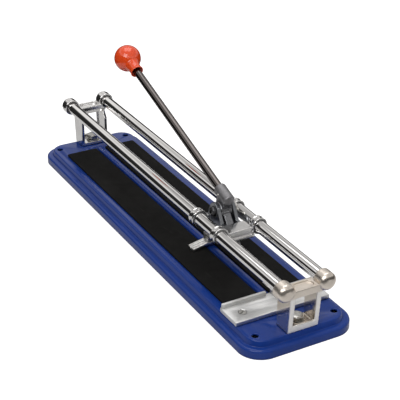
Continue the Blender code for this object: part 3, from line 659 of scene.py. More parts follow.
LOOKS = {look.name: look.mat for look in (
    blue_enamel(), black_foam(),
    chrome("chrome", (0.83, 0.82, 0.81), 0.04, (1.0, 0.01, 1.0), 0.03),
    cast_look("cast_chrome", (0.84, 0.83, 0.82), 0.10, (0.10, 0.10, 0.10)),
    near_chrome_painted_light(), carriage_chrome(),
    cast_look("foot_chrome", (0.95, 0.94, 0.92), 0.26, (0.05, 0.05, 0.05), 0.45),
    aluminium(), plated("zinc_plate", (0.66, 0.65, 0.62)), grey_cast(),
    chrome("dark_steel", (0.15, 0.135, 0.13), 0.15, (1.0, 0.03, 0.03), 0.14),
    plated("black_steel", (0.10, 0.10, 0.105), 0.35), tool_steel(), nylon(), orange_plastic())}


def put(name, mesh, body, slot, node, look=None, sharp=35.0):
    """Piece with its material, on its body, hiding the CAD node it stands for; the slot picks the material
    unless a look is given.
    """
    obj = piece_from(name, mesh, sharp)
    obj.data.materials.clear()
    obj.data.materials.append(LOOKS[look or slot])
    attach(obj, body)
    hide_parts(node)
    return obj


# ---- base, pads and fence

def rectangle(half_x, half_y, radius, steps=14, side_step=None):
    """Outline of a rectangle with round corners, its straight sides cut into equal steps."""
    points = []
    for sx, sy, angle in ((1, 1, 0), (-1, 1, 90), (-1, -1, 180), (1, -1, 270)):
        points += arc((sx * (half_x - radius), sy * (half_y - radius)), radius,
                      angle, angle + 90, steps)
    if side_step is None:
        return points
    dense = []
    for k, point in enumerate(points):
        after = points[(k + 1) % len(points)]
        count = max(1, round(math.dist(point, after) / side_step))
        for j in range(count):
            t = j / count
            dense.append((point[0] + (after[0] - point[0]) * t, point[1] + (after[1] - point[1]) * t))
    return dense


def pan_mesh():
    """Pressed sheet: rolled rim, skirt, ledge, wall and bed, with the sheet's thickness."""
    outer = [(0.45, 0.0), (0.12, 0.12), (0.0, 0.5)]
    outer += arc((3.0, 7.5), 3.0, 180, 90, 10)
    outer += soften([(5.4, 10.5), (6.9, 10.5), (7.5, 12.4)], 1.5, 8, closed=False)[1:]
    outer += arc((10.2, BED_TOP - 1.8), 1.8, 168, 90, 10)
    # The inside follows the outside one sheet thickness further in and lower.
    inner = [(SHEET, 0.0), (SHEET, 6.5)]
    inner += arc((3.0, 7.5), 3.0 - SHEET, 180, 90, 8)[1:]
    inner += soften([(5.6, 9.0), (8.2, 9.0), (9.0, 11.6)], 2.4, 8, closed=False)[1:]
    inner += arc((10.6, BED_TOP - SHEET - 0.9), 0.9, 175, 90, 6)
    sections = []
    for inset, height in inner[::-1] + outer:
        outline = rectangle(BASE_HALF_X - inset, BASE_HALF_Y - inset, BASE_CORNER - inset)
        sections.append([(x, y, height) for x, y in outline])
    return loft(sections)


def ridge_mesh(shrink, start, end, drop):
    """Pressed ridge with flared sides and round ends, standing in the bed."""
    low = BED_TOP - drop
    top = RIDGE_TOP - shrink
    sections = []
    fillet_end = 6.05 - shrink
    half = [(fillet_end, BED_TOP + 0.02 - shrink)]
    half += soften([(fillet_end, BED_TOP - shrink + 0.02), (4.85 - shrink, BED_TOP + 0.25 - shrink),
                    (3.9 - shrink, top - 0.5), (0.0, top + 0.15)], 1.7, 5, closed=False)[1:-1]
    half += [(0.9, top - 0.02), (0.0, top)]
    outline = [(fillet_end, low)] + half
    outline += [(-x, z) for x, z in reversed(half[:-1])] + [(-fillet_end, low)]
    reach = 5.0
    spots = [(start, 0.12)]
    for k in range(1, 9):
        t = k / 8
        spots.append((start + reach * (1 - cos(t * pi / 2)), sin(t * pi / 2)))
    spots += [(start + end - y, s) for y, s in reversed(spots)]
    for y, size in spots:
        wide = 0.35 + 0.65 * size
        section = []
        for x, z in outline:
            raised = BED_TOP - shrink + (z - BED_TOP + shrink) * size if z > BED_TOP - shrink else z
            section.append((x * wide, y, raised))
        sections.append(section)
    return loft(sections)


def hole(x, y, radius, lip=0.8):
    """Cutter for a hole in the bed with a rolled upper edge."""
    profile = [(radius, BED_TOP - 5), (radius, BED_TOP - lip)]
    profile += [(radius + lip - lip * cos(radians(a)), BED_TOP - lip + lip
                 * sin(radians(a))) for a in (22.5, 45, 67.5, 90)]
    profile.append((radius + lip, BED_TOP + 3))
    return turned(profile, (x, y, 0), Z_AXIS, 48)


def make_base():
    ridge = ridge_mesh(0.0, RIDGE_NEAR, RIDGE_FAR, 0.9)
    obj = combine(new_object("pan", pan_mesh()), [ridge], "UNION")
    hollow = ridge_mesh(1.4, RIDGE_NEAR + 1.6, RIDGE_FAR - 1.6, 6.0)
    holes = []
    for side in (-1, 1):
        holes.append(hole(side * FENCE_SCREW.x, FENCE_SCREW.y, FENCE_HOLE, 0.2))
        holes += [hole(side * HOLE_X, end * HOLE_Y, HOLE_R) for end in (-1, 1)]
    holes += [hole(0, end * BOLT_Y, BOLT_HOLE, 0.2) for end in (-1, 1)]
    combine(obj, [hollow] + holes, "DIFFERENCE")
    put("pressed_base", mesh_of(obj), "base", "blue_enamel", "base_pan", sharp=32)


def make_pads():
    """Foam sheets with rounded upper rims and a slightly uneven top."""
    half_x = (PAD_HIGH.x - PAD_LOW.x) / 2
    half_y = (PAD_HIGH.y - PAD_LOW.y) / 2
    rim = 0.75
    rings = [(0.25, PAD_LOW.z), (0.0, PAD_LOW.z + 0.3), (0.0, PAD_HIGH.z - rim)]
    rings += [(rim - rim * cos(radians(a)), PAD_HIGH.z - rim + 0.72
               * sin(radians(a))) for a in (30, 60, 90)]
    rings += [(inset, PAD_HIGH.z) for inset in (2, 4, 7, 10, 13, 16, 18.5, half_x - 0.4)]
    full = rectangle(half_x, half_y, 2.5, 5, 4.0)
    for side, word in SIDES:
        sections = []
        for inset, z in rings:
            reach_x = (half_x - inset) / half_x
            reach_y = (half_y - inset) / half_y
            sections.append([(side * PAD_MIDDLE.x + x * reach_x, PAD_MIDDLE.y + y * reach_y, z)
                             for x, y in full])
        mesh = loft(sections)
        for vert in mesh.vertices:
            if vert.co.z > PAD_HIGH.z * MM - 1e-4:
                wave = noise.noise(Vector((vert.co.x * 55, vert.co.y * 40, side * 3.7)))
                vert.co.z -= (0.03 + 0.05 * abs(wave)) * MM
        pad = put("foam_pad_" + word, mesh, "base", "black_foam", "pad_" + word, sharp=60)


def make_fence():
    low, high = FENCE_LOW, FENCE_HIGH
    plate_top = low.z + 4.4
    lip = high.y - 3.4
    profile = soften([
        (high.y, low.z), (high.y, high.z), (lip, high.z), (lip, plate_top),
        (low.y, plate_top), (low.y, low.z)], 0.55, 4)
    obj = new_object("angle", plate(profile, low.x, high.x, 0.35))
    cuts = [block((-3.5, lip - 3, plate_top + 0.4), (3.5, high.y + 2, high.z + 2), 0.5)]
    for side in (-1, 1):
        spot = (side * FENCE_SCREW.x, FENCE_SCREW.y)
        cuts.append(turned([
            (FENCE_HOLE, low.z - 1), (FENCE_HOLE, plate_top - 2.4), (2.8, plate_top - 2.35),
            (4.75, plate_top - 0.35), (4.95, plate_top), (5.3, plate_top + 1)], (*spot, 0), Z_AXIS, 64))
        # The upper edge of each end is sloped.
        end = (high.x if side > 0 else low.x)
        slope = loft([[(end + side * 1.5, y, plate_top - 1.6), (end + side * 1.5, y, high.z + 6),
                       (end - side * 1.3, y, high.z + 6), (end - side * 1.3, y, plate_top + 0.9)]
                      for y in (low.y - 1, high.y + 1)])
        cuts.append(slope)
    combine(obj, cuts, "DIFFERENCE")
    rounding = obj.modifiers.new("edges", "BEVEL")
    rounding.width = 0.22 * MM
    rounding.segments = 2
    rounding.limit_method = "ANGLE"
    rounding.angle_limit = radians(30)
    put("fence_angle", mesh_of(applied(obj)), "base", "aluminium", "fence_bar", sharp=40)

    for side, word in SIDES:
        spot = (side * FENCE_SCREW.x, FENCE_SCREW.y, 0)
        bottom = BED_TOP - SHEET - 5.5
        top = plate_top - 0.12
        heights = [bottom + 0.25 * k for k in range(1, int((top - 3 - bottom) / 0.25))]
        profile = [(1.4, bottom)] + [(2.0, h) for h in heights]
        profile += [(2.0, top - 2.3), (3.9, top - 0.4), (4.0, top - 0.15), (3.8, top), (0, top + 0.06)]
        screw = turned(profile, spot, Z_AXIS, 48, shape=thread(0.7, 0.28, bottom, bottom + 7))
        slot = block((spot[0] - 5, spot[1] - 0.55, top - 0.9), (spot[0] + 5, spot[1] + 0.55, top + 1))
        turn = Matrix.Rotation(radians(31 if side < 0 else -57), 4, "Z")
        centre = Matrix.Translation(Vector(spot) * MM)
        slot.transform(centre @ turn @ centre.inverted())
        put("countersunk_screw_" + word, carved(screw, [slot]), "base", "zinc_plate",
            "fence_screw_" + word)
        nut = nut_mesh(spot, Z_AXIS, BED_TOP - SHEET - GAP - 3.2, 7.0, 3.2, FENCE_HOLE)
        put("fence_lock_nut_" + word, nut, "base", "zinc_plate", "fence_nut_" + word)


def nut_mesh(spot, axis, low, across, height, bore):
    """Hexagon nut with chamfered corners, its lower face at a height along the axis."""
    corner = across / math.sqrt(3)
    bevel = corner - across / 2
    profile = [(bore + 0.35, 0), (across / 2 - 0.1, 0), (corner + 0.05, bevel * 0.62)]
    profile += [(corner + 0.05, height * k / 4) for k in (1, 2, 3)]
    profile += [(corner + 0.05, height - bevel * 0.62), (across / 2 - 0.1, height), (bore + 0.35, height),
                (bore, height - 0.35), (bore, 0.35)]
    start = Vector(spot) + Vector(axis) * low
    return turned(profile, start, axis, 72, ring=True, shape=lambda r, h, a: (
        hexagon(across)(r, h, a) if r > across / 2 - 0.2 else r))


# ---- rails and brackets

def bracket_meshes():
    """Solids, cavities and bores of the near bracket. The far one is the same, turned round."""
    low = BRACKET_LOW.z
    face, top_face, back, beam_back = -258.2, -261.8, -237.0, -245.5
    half, wall, frame = 18.1, 3.6, 3.0
    window_half, window_low, window_high = 13.0, 24.4, 59.0
    beam_half, beam_top, shoulder = 20.6, 67.2, 61.7
    boss_r, boss_start, boss_end = 9.9, -250.8, -265.9
    # The side view leans out towards the beam, and is cut back behind it.
    side_view = [(face, low), (top_face, window_high), (top_face, shoulder),
                 (beam_back, shoulder), (back, window_high - 8), (back, low)]
    solids = [plate(side_view, -half, half),
              block((-beam_half, top_face, window_high), (beam_half, beam_back, beam_top))]
    length = boss_start - boss_end
    for side in (-1, 1):
        profile = [(boss_r - 0.8, 0.0), (boss_r, 0.8)]
        profile += [(boss_r * (0.34 + 0.66 * cos(a)), length - 5.2 + 5.2 * sin(a))
                    for a in (pi / 2 * k / 14 for k in range(15))]
        profile.append((0.0, length))
        solids.append(turned(profile, (side * RAIL_X, boss_start, RAIL_Z), (0, -1, 0), 96))
    inside = [(face + frame, low + BRACKET_FLOOR), (top_face + frame, window_high),
              (back + 1, window_high), (back + 1, low + BRACKET_FLOOR)]
    pocket = RAIL_X - boss_r - 2.2
    middle = (top_face + beam_back) / 2
    deep = (beam_back - top_face) / 2 - 2.2
    outline = arc((pocket - deep, middle), deep, -90, 90, 16)
    outline += arc((-pocket + deep, middle), deep, 90, 270, 16)
    cavities = [
        plate(inside, -half + wall, half - wall),
        block((-window_half, top_face - 1, window_low), (window_half, face + frame + 1, window_high)),
        loft([[(x, y, z) for x, y in outline] for z in (beam_top - 2.0, beam_top + 1)]),
    ]
    bores = [bar((0, -BOLT_Y, low - 1), Z_AXIS, 6.0, BOLT_HOLE, 48)]
    for side in (-1, 1):
        # The mouth of each rail bore is countersunk a little.
        bores.append(turned([
            (RAIL_R + GAP, 0.0), (RAIL_R + GAP, RAIL_HALF + GAP + boss_start - 0.9),
            (RAIL_R + GAP + 0.9, RAIL_HALF + GAP + boss_start), (RAIL_R + GAP + 0.9, 33.0)],
            (side * RAIL_X, -RAIL_HALF - GAP, RAIL_Z), Y_AXIS, 96))
        bores.append(bar((side * RAIL_X, -GRUB_Y, RAIL_Z - boss_r - 1), Z_AXIS, 6.0, 2.8, 32))
    return solids, cavities, bores


def make_brackets():
    near = cast(*bracket_meshes(), voxel=0.42, passes=5)
    far = near.copy()
    far.transform(Matrix.Rotation(pi, 4, "Z"))
    # The near casting takes its own painted-light copy of the cast chrome; the far one keeps the plain
    # cast chrome.
    put("near_casting", near, "base", "cast_chrome", "near_bracket", "near_chrome_painted_light", 48)
    put("far_casting", far, "base", "cast_chrome", "far_bracket", sharp=48)

    floor_top = BRACKET_LOW.z + BRACKET_FLOOR
    washer = 1.4
    for end, word in ENDS:
        spot = (0, end * BOLT_Y, 0)
        profile = soften([(BOLT_HOLE, 0), (8.0, 0), (8.0, washer), (BOLT_HOLE, washer)], 0.25, 2)
        mesh = turned(profile, (0, end * BOLT_Y, floor_top + GAP), Z_AXIS, 72, ring=True)
        put(word + "_washer", mesh, "base", "zinc_plate", word + "_bracket_washer")
        head_low = floor_top + washer + 2 * GAP
        bottom = BED_TOP - 10.5
        shank = head_low - bottom
        profile = [(3.2, 0.0)] + [(4.0, 0.6 + 0.16 * k) for k in range(int(shank / 0.16) - 4)]
        profile += [(4.0, shank), (6.3, shank), (6.35, shank + 0.35), (7.55, shank + 0.36)]
        profile += [(7.55, shank + 0.36 + k) for k in (1, 2, 3)]
        profile += [(7.5, shank + 4.1), (7.1, shank + 4.6), (6.4, shank + 5.1), (5.9, shank + 5.3),
                    (0, shank + 5.3)]
        cut = thread(1.25, 0.6, 0.0, shank - 3.5)
        trim = hexagon(13.0)
        mesh = turned(profile, (0, end * BOLT_Y, bottom), Z_AXIS, 72,
                      shape=lambda r, h, a: trim(r, h, a + end) if r > 6.4 else cut(r, h, a))
        put(word + "_hex_bolt", mesh, "base", "zinc_plate", word + "_bracket_bolt", sharp=30)
        nut = nut_mesh(spot, Z_AXIS, BED_TOP - SHEET - GAP - 6.5, 13.0, 6.5, BOLT_HOLE)
        put(word + "_hex_nut", nut, "base", "zinc_plate", word + "_bracket_nut", sharp=30)
        for _, hand in SIDES:
            node = word + "_grub_screw_" + hand
            put(word + "_set_screw_" + hand, set_screw_mesh(node), "base", "dark_steel", node,
                "black_steel", 30)


def set_screw_mesh(node):
    """Headless screw in the CAD node's place, with a hexagon socket in its lower end."""
    low, high, middle = box_mm(node)
    length = high.z - low.z
    radius = (high.x - low.x) / 2
    socket = 1.35
    deep = length * 0.55
    profile = [(0.0, deep), (socket, deep - 0.15), (socket, 0.1), (socket + 0.15, 0.0),
               (radius - 0.35, 0.0)]
    profile += [(radius, 0.3 + 0.1 * k) for k in range(int((length - 0.6) / 0.1))]
    profile += [(radius - 0.4, length), (0.0, length)]
    cut = thread(0.6, 0.22, 0.2, length - 0.2)
    return turned(profile, (middle.x, middle.y, low.z), Z_AXIS, 48,
                  shape=with_socket(cut, socket * 1.8, socket + 0.1))


def make_rails():
    chamfer = 0.7
    profile = soften([(RAIL_R - chamfer, 0), (RAIL_R, chamfer), (RAIL_R, 2 * RAIL_HALF - chamfer),
                      (RAIL_R - chamfer, 2 * RAIL_HALF)], 0.4, 3, closed=False)
    for side, word in SIDES:
        mesh = turned(profile, (side * RAIL_X, -RAIL_HALF, RAIL_Z), Y_AXIS, 128)
        put("guide_rail_" + word, mesh, "base", "chrome", "rail_" + word)


# ---- carriage

def make_carriage():
    near_low = EYE_NEAR - 3.4
    solids = []
    bores = []
    edge = RAIL_X - RAIL_R + 1.5
    for side in (-1, 1):
        cheek = sorted((side * CHEEK_IN, side * CHEEK_OUT))
        ear = [(PIVOT_Y + 15.5, FRAME_TOP - 4)]
        ear += arc((PIVOT_Y, PIVOT_Z), 9.5, 20, 160, 28)
        ear.append((PIVOT_Y - 17.5, FRAME_TOP - 4))
        boss = sorted((side * (CHEEK_IN + 0.1), side * CHEEK_OUT))
        arm = sorted((side * (CHEEK_OUT - 1), side * edge))
        solids += [
            block((cheek[0], near_low, FRAME_LOW), (cheek[1], EYE_FAR + 3.0, FRAME_TOP)),
            plate(ear, *cheek),
            bar((boss[0], PIVOT_Y, PIVOT_Z), X_AXIS, boss[1] - boss[0], 6.6),
            block((arm[0], EYE_FAR - 3.0, FRAME_LOW + 3.5), (arm[1], EYE_FAR + 3.0, FRAME_TOP))]
        for y in (EYE_FAR, EYE_NEAR):
            rim = [(8.6, EYE_HALF), (9.0, EYE_HALF), (EYE_R, EYE_HALF - 0.5),
                   (EYE_R, EYE_HALF - 1.7), (EYE_NECK, EYE_HALF - 2.3)]
            profile = [(r, -h) for r, h in rim] + rim[::-1]
            solids.append(turned(profile, (side * RAIL_X, y, RAIL_Z), Y_AXIS, 96))
            mouth = EYE_BORE + 0.3
            bores.append(turned([(mouth, -1.0), (mouth, 0.1), (EYE_BORE, 0.4),
                                 (EYE_BORE, 2 * EYE_HALF - 0.4), (mouth, 2 * EYE_HALF - 0.1),
                                 (mouth, 2 * EYE_HALF + 1.0)],
                                (side * RAIL_X, y - EYE_HALF, RAIL_Z), Y_AXIS, 96))
    solids.append(block((-edge, near_low, FRAME_LOW), (edge, near_low + 3.2, FRAME_TOP)))
    solids.append(block((-edge + 1.5, near_low - 1.6, FRAME_LOW - 1.2),
                        (edge - 1.5, near_low + 3.2, FRAME_LOW + 2.6)))
    shelf, shelf_far = RAIL_X - RAIL_R - 1.2, -116.5
    solids.append(block((-shelf, near_low + 1, FRAME_TOP - 3.6), (shelf, shelf_far, FRAME_TOP)))
    bores.append(bar((-20, PIVOT_Y, PIVOT_Z), X_AXIS, 40, PIVOT_HOLE, 48))
    put("carriage_casting", cast(solids, [], bores, voxel=0.4, passes=5), "carriage",
        "cast_chrome", "carriage_frame", "carriage_chrome", 48)

    inner, outer = 7.2, 7.9
    profile = soften([(inner, -EYE_HALF), (outer, -EYE_HALF), (outer, EYE_HALF), (inner, EYE_HALF)],
                     0.15, 2)
    for side, hand in SIDES:
        for y, word in ((EYE_FAR, "far"), (EYE_NEAR, "near")):
            mesh = turned(profile, (side * RAIL_X, y, RAIL_Z), Y_AXIS, 96, ring=True)
            put("bush_" + word + "_" + hand, mesh, "carriage", "nylon",
                "slide_bush_" + word + "_" + hand)

    low, high, _ = box_mm("pivot_bolt")
    length = high.x - low.x
    profile = [(0, length), (2.3, length)]
    profile += [(3.0, length - 0.7 - 0.15 * k) for k in range(36)]
    profile += [(3.0, 4.3), (5.2, 4.25), (5.4, 4.0), (5.4, 2.4), (5.1, 1.5), (4.3, 0.7), (3.1, 0.15),
                (2.2, 0.0), (2.0, 0.15), (2.0, 2.2), (0, 2.35)]
    cut = thread(1.0, 0.45, length - 6.5, length)
    mesh = turned(profile, (low.x, PIVOT_Y, PIVOT_Z), X_AXIS, 72, shape=with_socket(cut, 3.5, 2.1))
    put("pivot_screw", mesh, "carriage", "zinc_plate", "pivot_bolt", "black_steel", 30)
    mesh = nut_mesh((0, PIVOT_Y, PIVOT_Z), X_AXIS, CHEEK_OUT + GAP, 10.0, 4.4, PIVOT_HOLE)
    put("pivot_lock_nut", mesh, "carriage", "zinc_plate", "pivot_nut", sharp=30)


# ---- lever

def foot_low(x):
    """Height of the foot's underside: it droops towards both tips."""
    return FOOT_LOW.z + FOOT_RISE * (1 - min(1.0, max(0.0, abs(x) - 5.0) / (FOOT_HIGH.x - 5.0)))


def make_lever():
    pivot = (PIVOT_Y, PIVOT_Z)
    wheel = (WHEEL_Y, WHEEL_Z)
    foot_y = FOOT_MIDDLE.y
    foot_top = FOOT_LOW.z + FOOT_RISE + FOOT_THICK + GAP
    ankle = (foot_y - 1.0, foot_top + 7.0)
    heel = along(-SOCKET_LENGTH + 5)
    toe = along(-5.0)
    neck = [(PIVOT_Y - 7.5, PIVOT_Z + 2), (PIVOT_Y + 7.5, PIVOT_Z + 1),
            (toe.y + 1.5, toe.z - 2), (heel.y - 3.0, heel.z - 2)]
    socket = [(4.5, 0.0), (6.3, 0.4), (7.0, 1.6), (7.0, SOCKET_LENGTH - 1.0), (6.4, SOCKET_LENGTH)]
    solids = [
        turned(socket, along(-SOCKET_LENGTH), HANDLE_AXIS, 96),
        plate(neck, -5.2, 5.2),
        bar((-6.8, *pivot), X_AXIS, 13.6, 9.0, 96),
        plate(link_outline(((pivot, 7.5), (ankle, 5.0))), -4.5, 4.5),
        plate(link_outline(((pivot, 5.5), (wheel, 4.4))), -WHEEL_ARM, WHEEL_ARM),
        block((-5.0, foot_y - 5.6, foot_top), (5.0, foot_y + 5.6, ankle[1] + 1)),
    ]
    pin = along(-9.0)
    pin_hole = ((-12, pin.y, pin.z), X_AXIS, 24, PIN_HOLE, 48)
    bores = [
        turned([(ROD_R + GAP, 0), (ROD_R + GAP, ROD_IN_SOCKET - 0.4), (ROD_R + 1.0, ROD_IN_SOCKET + 0.6),
                (ROD_R + 1.0, ROD_IN_SOCKET + 4)], along(-ROD_IN_SOCKET - GAP), HANDLE_AXIS, 96),
        bar((-8, *pivot), X_AXIS, 16, PIVOT_HOLE, 64),
        plate(link_outline(((wheel, WHEEL_R + 0.8), ((WHEEL_Y - 20, WHEEL_Z - 22), 12.0)), 40), -1.5, 1.5),
        bar((-10, *wheel), X_AXIS, 20, PIN_HOLE, 48),
        bar(*pin_hole),
    ]
    for dy in (-1, 1):
        bores.append(bar((0, foot_y + dy * FOOT_SCREW, foot_top - 1), Z_AXIS, 7.0, FOOT_HOLE, 32))
    put("lever_body", cast(solids, [], bores, voxel=0.36, passes=6), "lever", "grey_cast",
        "lever_casting", sharp=48)

    length = ROD_LENGTH - KNOB_SKIRT + KNOB_BORE + ROD_IN_SOCKET
    rod = bar(along(-ROD_IN_SOCKET), HANDLE_AXIS, length, ROD_R, 96, 0.6)
    mesh = carved(rod, [bar(*pin_hole)])
    put("handle_bar", mesh, "lever", "dark_steel", "handle_rod")
    mesh = bar((-7.2, pin.y, pin.z), X_AXIS, 14.4, 1.5, 48, 0.35)
    put("lock_pin", mesh, "lever", "zinc_plate", "rod_lock_pin")

    bore = ROD_R + GAP
    cup = soften([(0.0, KNOB_BORE + GAP), (bore, KNOB_BORE + GAP), (bore, 3.4), (5.6, 2.6), (6.5, 2.0)],
                 0.6, 3, closed=False)
    skirt = soften([(6.6, 0.5), (6.9, 0.0), (7.6, 0.0), (7.9, 0.5), (7.9, 1.3), (7.35, 2.8), (7.15, 5.2),
                    (7.5, 8.2), (8.3, 10.8), (8.9, 12.4)], 0.9, 4, closed=False)
    join_angle = math.degrees(math.acos(9.3 / KNOB_R))
    ball = []
    # A faint moulding seam stands out round the middle of the ball.
    seam_high, seam_wide = 0.05, 0.22
    for r, h in arc((0, 0), KNOB_R, -join_angle, 90, 56):
        seam = seam_high * math.exp(-(h / seam_wide) ** 2)
        ball.append((r - seam_high + seam, KNOB_SKIRT + h))
    ball[-1] = (0.0, KNOB_SKIRT + KNOB_R)
    mesh = turned(cup + skirt + ball, along(ROD_LENGTH - KNOB_SKIRT), HANDLE_AXIS, 128)
    put("knob", mesh, "lever", "orange_plastic", "ball_knob", sharp=50)


def make_foot():
    """Drooping bar with rounded edges and a groove along its top."""
    half = (FOOT_HIGH.y - FOOT_LOW.y) / 2
    tip = FOOT_HIGH.x
    groove = FOOT_THICK - 1.1
    outline = soften([(-half, 0), (half, 0), (half, FOOT_THICK), (1.6, FOOT_THICK),
                      (1.0, groove), (-1.0, groove), (-1.6, FOOT_THICK),
                      (-half, FOOT_THICK)], 0.5, 4)
    spots = [-tip, -tip + 0.12, -tip + 0.4]
    spots += [-tip + 0.9 + (2 * tip - 1.8) * k / 36 for k in range(37)]
    spots += [tip - 0.4, tip - 0.12, tip]
    sections = []
    for x in spots:
        near_tip = max(0.0, 0.5 - (tip - abs(x))) / 0.5
        shrink = 0.45 * near_tip ** 2
        wide = (half - shrink) / half
        thin = (FOOT_THICK - 2 * shrink) / FOOT_THICK
        sections.append([(x, FOOT_MIDDLE.y + y * wide, foot_low(x) + (shrink + z * thin))
                         for y, z in outline])
    holes = [bar((0, FOOT_MIDDLE.y + end * FOOT_SCREW, FOOT_LOW.z), Z_AXIS, 12, FOOT_HOLE, 32)
             for end in (-1, 1)]
    mesh = carved(loft(sections), holes)
    put("foot_bar", mesh, "lever", "zinc_plate", "breaking_foot", "foot_chrome", 38)

    low = FOOT_LOW.z + FOOT_RISE
    for end, word in ENDS:
        spot = (0, FOOT_MIDDLE.y + end * FOOT_SCREW, low - GAP)
        length = FOOT_THICK + 6.0
        profile = [(0, -0.75), (0.9, -0.7), (0.9, -1.25), (1.5, -1.25), (2.1, -0.85), (2.3, -0.45),
                   (2.3, -0.1), (2.15, 0.0), (1.25, 0.02)]
        profile += [(1.25, 0.2 + 0.08 * k) for k in range(int(length / 0.08) - 8)]
        profile += [(0.9, length), (0, length)]
        cut = thread(0.45, 0.16, 0.5, length - 0.3)
        mesh = turned(profile, spot, Z_AXIS, 48, shape=with_socket(cut, 1.6, 1.0, 0.0))
        put("foot_cap_screw_" + word, mesh, "lever", "zinc_plate", "foot_screw_" + word, sharp=30)


def make_wheel():
    spot = (WHEEL_Y, WHEEL_Z)
    low, high, _ = box_mm("scoring_wheel")
    half = (high.x - low.x) / 2
    # One side of the disc: bore, hub, sunk web, ground bevel and cutting edge.
    flank = [(PIN_HOLE, half - 0.1), (1.95, half), (3.4, half), (3.6, half - 0.15), (5.9, half - 0.15),
             (6.2, half - 0.05), (6.4, half), (WHEEL_R, 0.03)]
    profile = [(r, -h) for r, h in flank] + flank[::-1]
    mesh = turned(profile, (0, *spot), X_AXIS, 128, ring=True)
    put("cutting_wheel", mesh, "wheel", "tool_steel", "scoring_wheel", sharp=20)

    low, high, _ = box_mm("wheel_screw")
    length = high.x - low.x
    profile = [(0, 0.95), (1.0, 0.9), (1.0, 0.05), (1.15, 0), (2.1, 0), (2.6, 0.35), (2.8, 0.9),
               (2.8, 1.85), (2.65, 2.0), (1.5, 2.02)]
    profile += [(1.5, 2.2 + 0.1 * k) for k in range(int((length - 2.9) / 0.1))]
    profile += [(1.5, length - 0.5), (1.05, length), (0, length)]
    cut = thread(0.5, 0.2, length - 4.5, length)
    mesh = turned(profile, (low.x, *spot), X_AXIS, 48, shape=with_socket(cut, 1.8, 1.05, 0.96))
    put("wheel_pin_screw", mesh, "lever", "zinc_plate", "wheel_screw", sharp=30)
    mesh = nut_mesh((0, *spot), X_AXIS, WHEEL_ARM + GAP, 5.5, 2.4, PIN_HOLE)
    put("wheel_pin_nut", mesh, "lever", "zinc_plate", "wheel_nut", sharp=30)


make_base()
make_pads()
make_fence()
make_rails()
make_brackets()
make_carriage()
make_lever()
make_foot()
make_wheel()


# ---- studio and camera

FLOOR_NEAR = 420.0
FLOOR_GLOW = 0.72
FLOOR_TUCK = 1.2      # how far the glow reaches in under the rim of the base


def make_camera():
    yaw = radians(29.34)
    pitch = radians(27.92)
    roll = radians(0.4)
    ahead = Vector((sin(yaw) * cos(pitch), cos(yaw) * cos(pitch), -sin(pitch)))
    right = Vector((cos(yaw), -sin(yaw), 0.0))
    up = right.cross(ahead)
    right_rolled = right * cos(roll) + up * sin(roll)
    up_rolled = up * cos(roll) - right * sin(roll)
    camera = new_object("camera", bpy.data.cameras.new("camera"))
    camera.data.lens = 106.94
    camera.data.sensor_width = 36.0
    camera.data.clip_end = 50.0
    turn = Matrix((right_rolled, up_rolled, -ahead)).transposed().to_4x4()
    camera.matrix_world = Matrix.Translation((-0.5757, -1.0705, 0.6876)) @ turn
    bpy.context.scene.camera = camera


def floor_material():
    """Pale matt floor. The camera also sees it glow a little, except under the base."""
    look = Look("pale_floor", (0.62, 0.62, 0.62), 0.0, 0.8, Specular_IOR_Level=0.1,
                Emission_Color=(1, 1, 1, 1))
    # Distance beyond the straight part of each side, so that the corners come out round.
    squares = []
    for axis, half in ((0, BASE_HALF_X), (1, BASE_HALF_Y)):
        spot = look.math("ABSOLUTE", look.height(axis), 0.0)
        spot = look.math("SUBTRACT", spot, (half - BASE_CORNER) * MM)
        squares.append(look.math("POWER", look.math("MAXIMUM", spot, 0.0), 2.0))
    total = look.math("ADD", *squares)
    outside = look.math("GREATER_THAN", total, ((BASE_CORNER - FLOOR_TUCK) * MM) ** 2)
    seen = look.add("LightPath").outputs["Is Camera Ray"]
    glow = look.math("MULTIPLY", look.math("MULTIPLY", seen, outside), FLOOR_GLOW)
    look.links.new(glow, look.shader.inputs["Emission Strength"])
    return look.mat


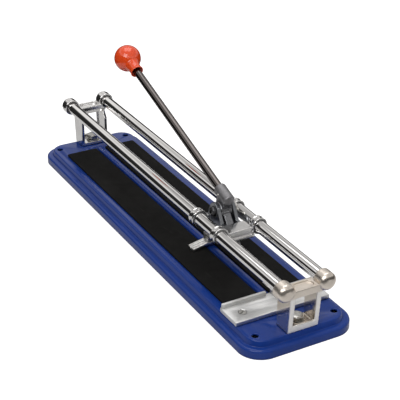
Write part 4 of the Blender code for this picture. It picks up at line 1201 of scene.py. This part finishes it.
def make_floor():
    """Floor disc under the tool, and a wider ring that only the camera sees."""
    mat = floor_material()
    for name, inner, outer in (("floor", 0.0, FLOOR_NEAR), ("floor_far", FLOOR_NEAR, 1900.0)):
        profile = [(inner, -2.0), (outer, -2.0), (outer, 0.0), (inner, 0.0)]
        floor = piece_from(name, turned(profile, (0, 0, 0), Z_AXIS, 96, ring=inner > 0), 35)
        floor.data.materials.append(mat)
        if inner:
            floor.visible_glossy = False
            floor.visible_diffuse = False


def make_light(name, spot, size, power, aim=(0, 0, 0.05)):
    """Area light aimed at a point, in metres and watts, hidden from the camera."""
    light = bpy.data.lights.new(name, "AREA")
    light.shape = "RECTANGLE"
    light.size = light.size_y = size
    light.energy = power
    obj = new_object(name, light)
    obj.location = spot
    obj.rotation_euler = (Vector(aim) - Vector(spot)).to_track_quat("-Z", "Y").to_euler()
    obj.visible_camera = False


def make_world():
    """Studio walls: a dark band at eye level under bright walls, and a paler ceiling."""
    world = bpy.data.worlds.new("studio")
    bpy.context.scene.world = world
    tree = Tree(world)
    tree.nodes.clear()
    split = tree.add("SeparateXYZ", tree.add("TexCoord").outputs["Generated"])
    tilted = tree.math("MULTIPLY_ADD", split.outputs["X"], 0.20, split.outputs["Z"])
    ramp = tree.add("ValToRGB", tree.ramp(tilted, -1.0, 1.0))
    stops = [(0.0, 0.02), (0.45, 0.02), (0.655, 0.025), (0.680, 0.30), (0.715, 1.0),
             (0.77, 0.70), (0.82, 0.46), (1.0, 0.55)]
    line = ramp.color_ramp
    while len(line.elements) < len(stops):
        line.elements.new(0.5)
    for element, (spot, value) in zip(line.elements, stops):
        element.position = spot
        element.color = (value, value * 0.985, value * 0.97, 1)
    studio = tree.add("Background", ramp.outputs["Color"])
    plain = tree.add("Background", (1.0, 1.0, 1.0, 1))
    seen = tree.add("LightPath").outputs["Is Camera Ray"]
    mix = tree.add("MixShader", seen, studio.outputs[0], plain.outputs[0])
    tree.add("OutputWorld", Surface=mix.outputs[0])


make_camera()
make_floor()
make_world()
make_light("key", (-1.3, -0.9, 1.7), 1.2, 14)
make_light("top", (0.3, 0.6, 2.2), 1.6, 14)
make_light("flash", (-0.50, -1.12, 1.00), 0.035, 3.4, aim=(0, 0.05, 0.1))
bpy.context.scene.view_settings.view_transform = "Standard"

bpy.context.view_layer.update()
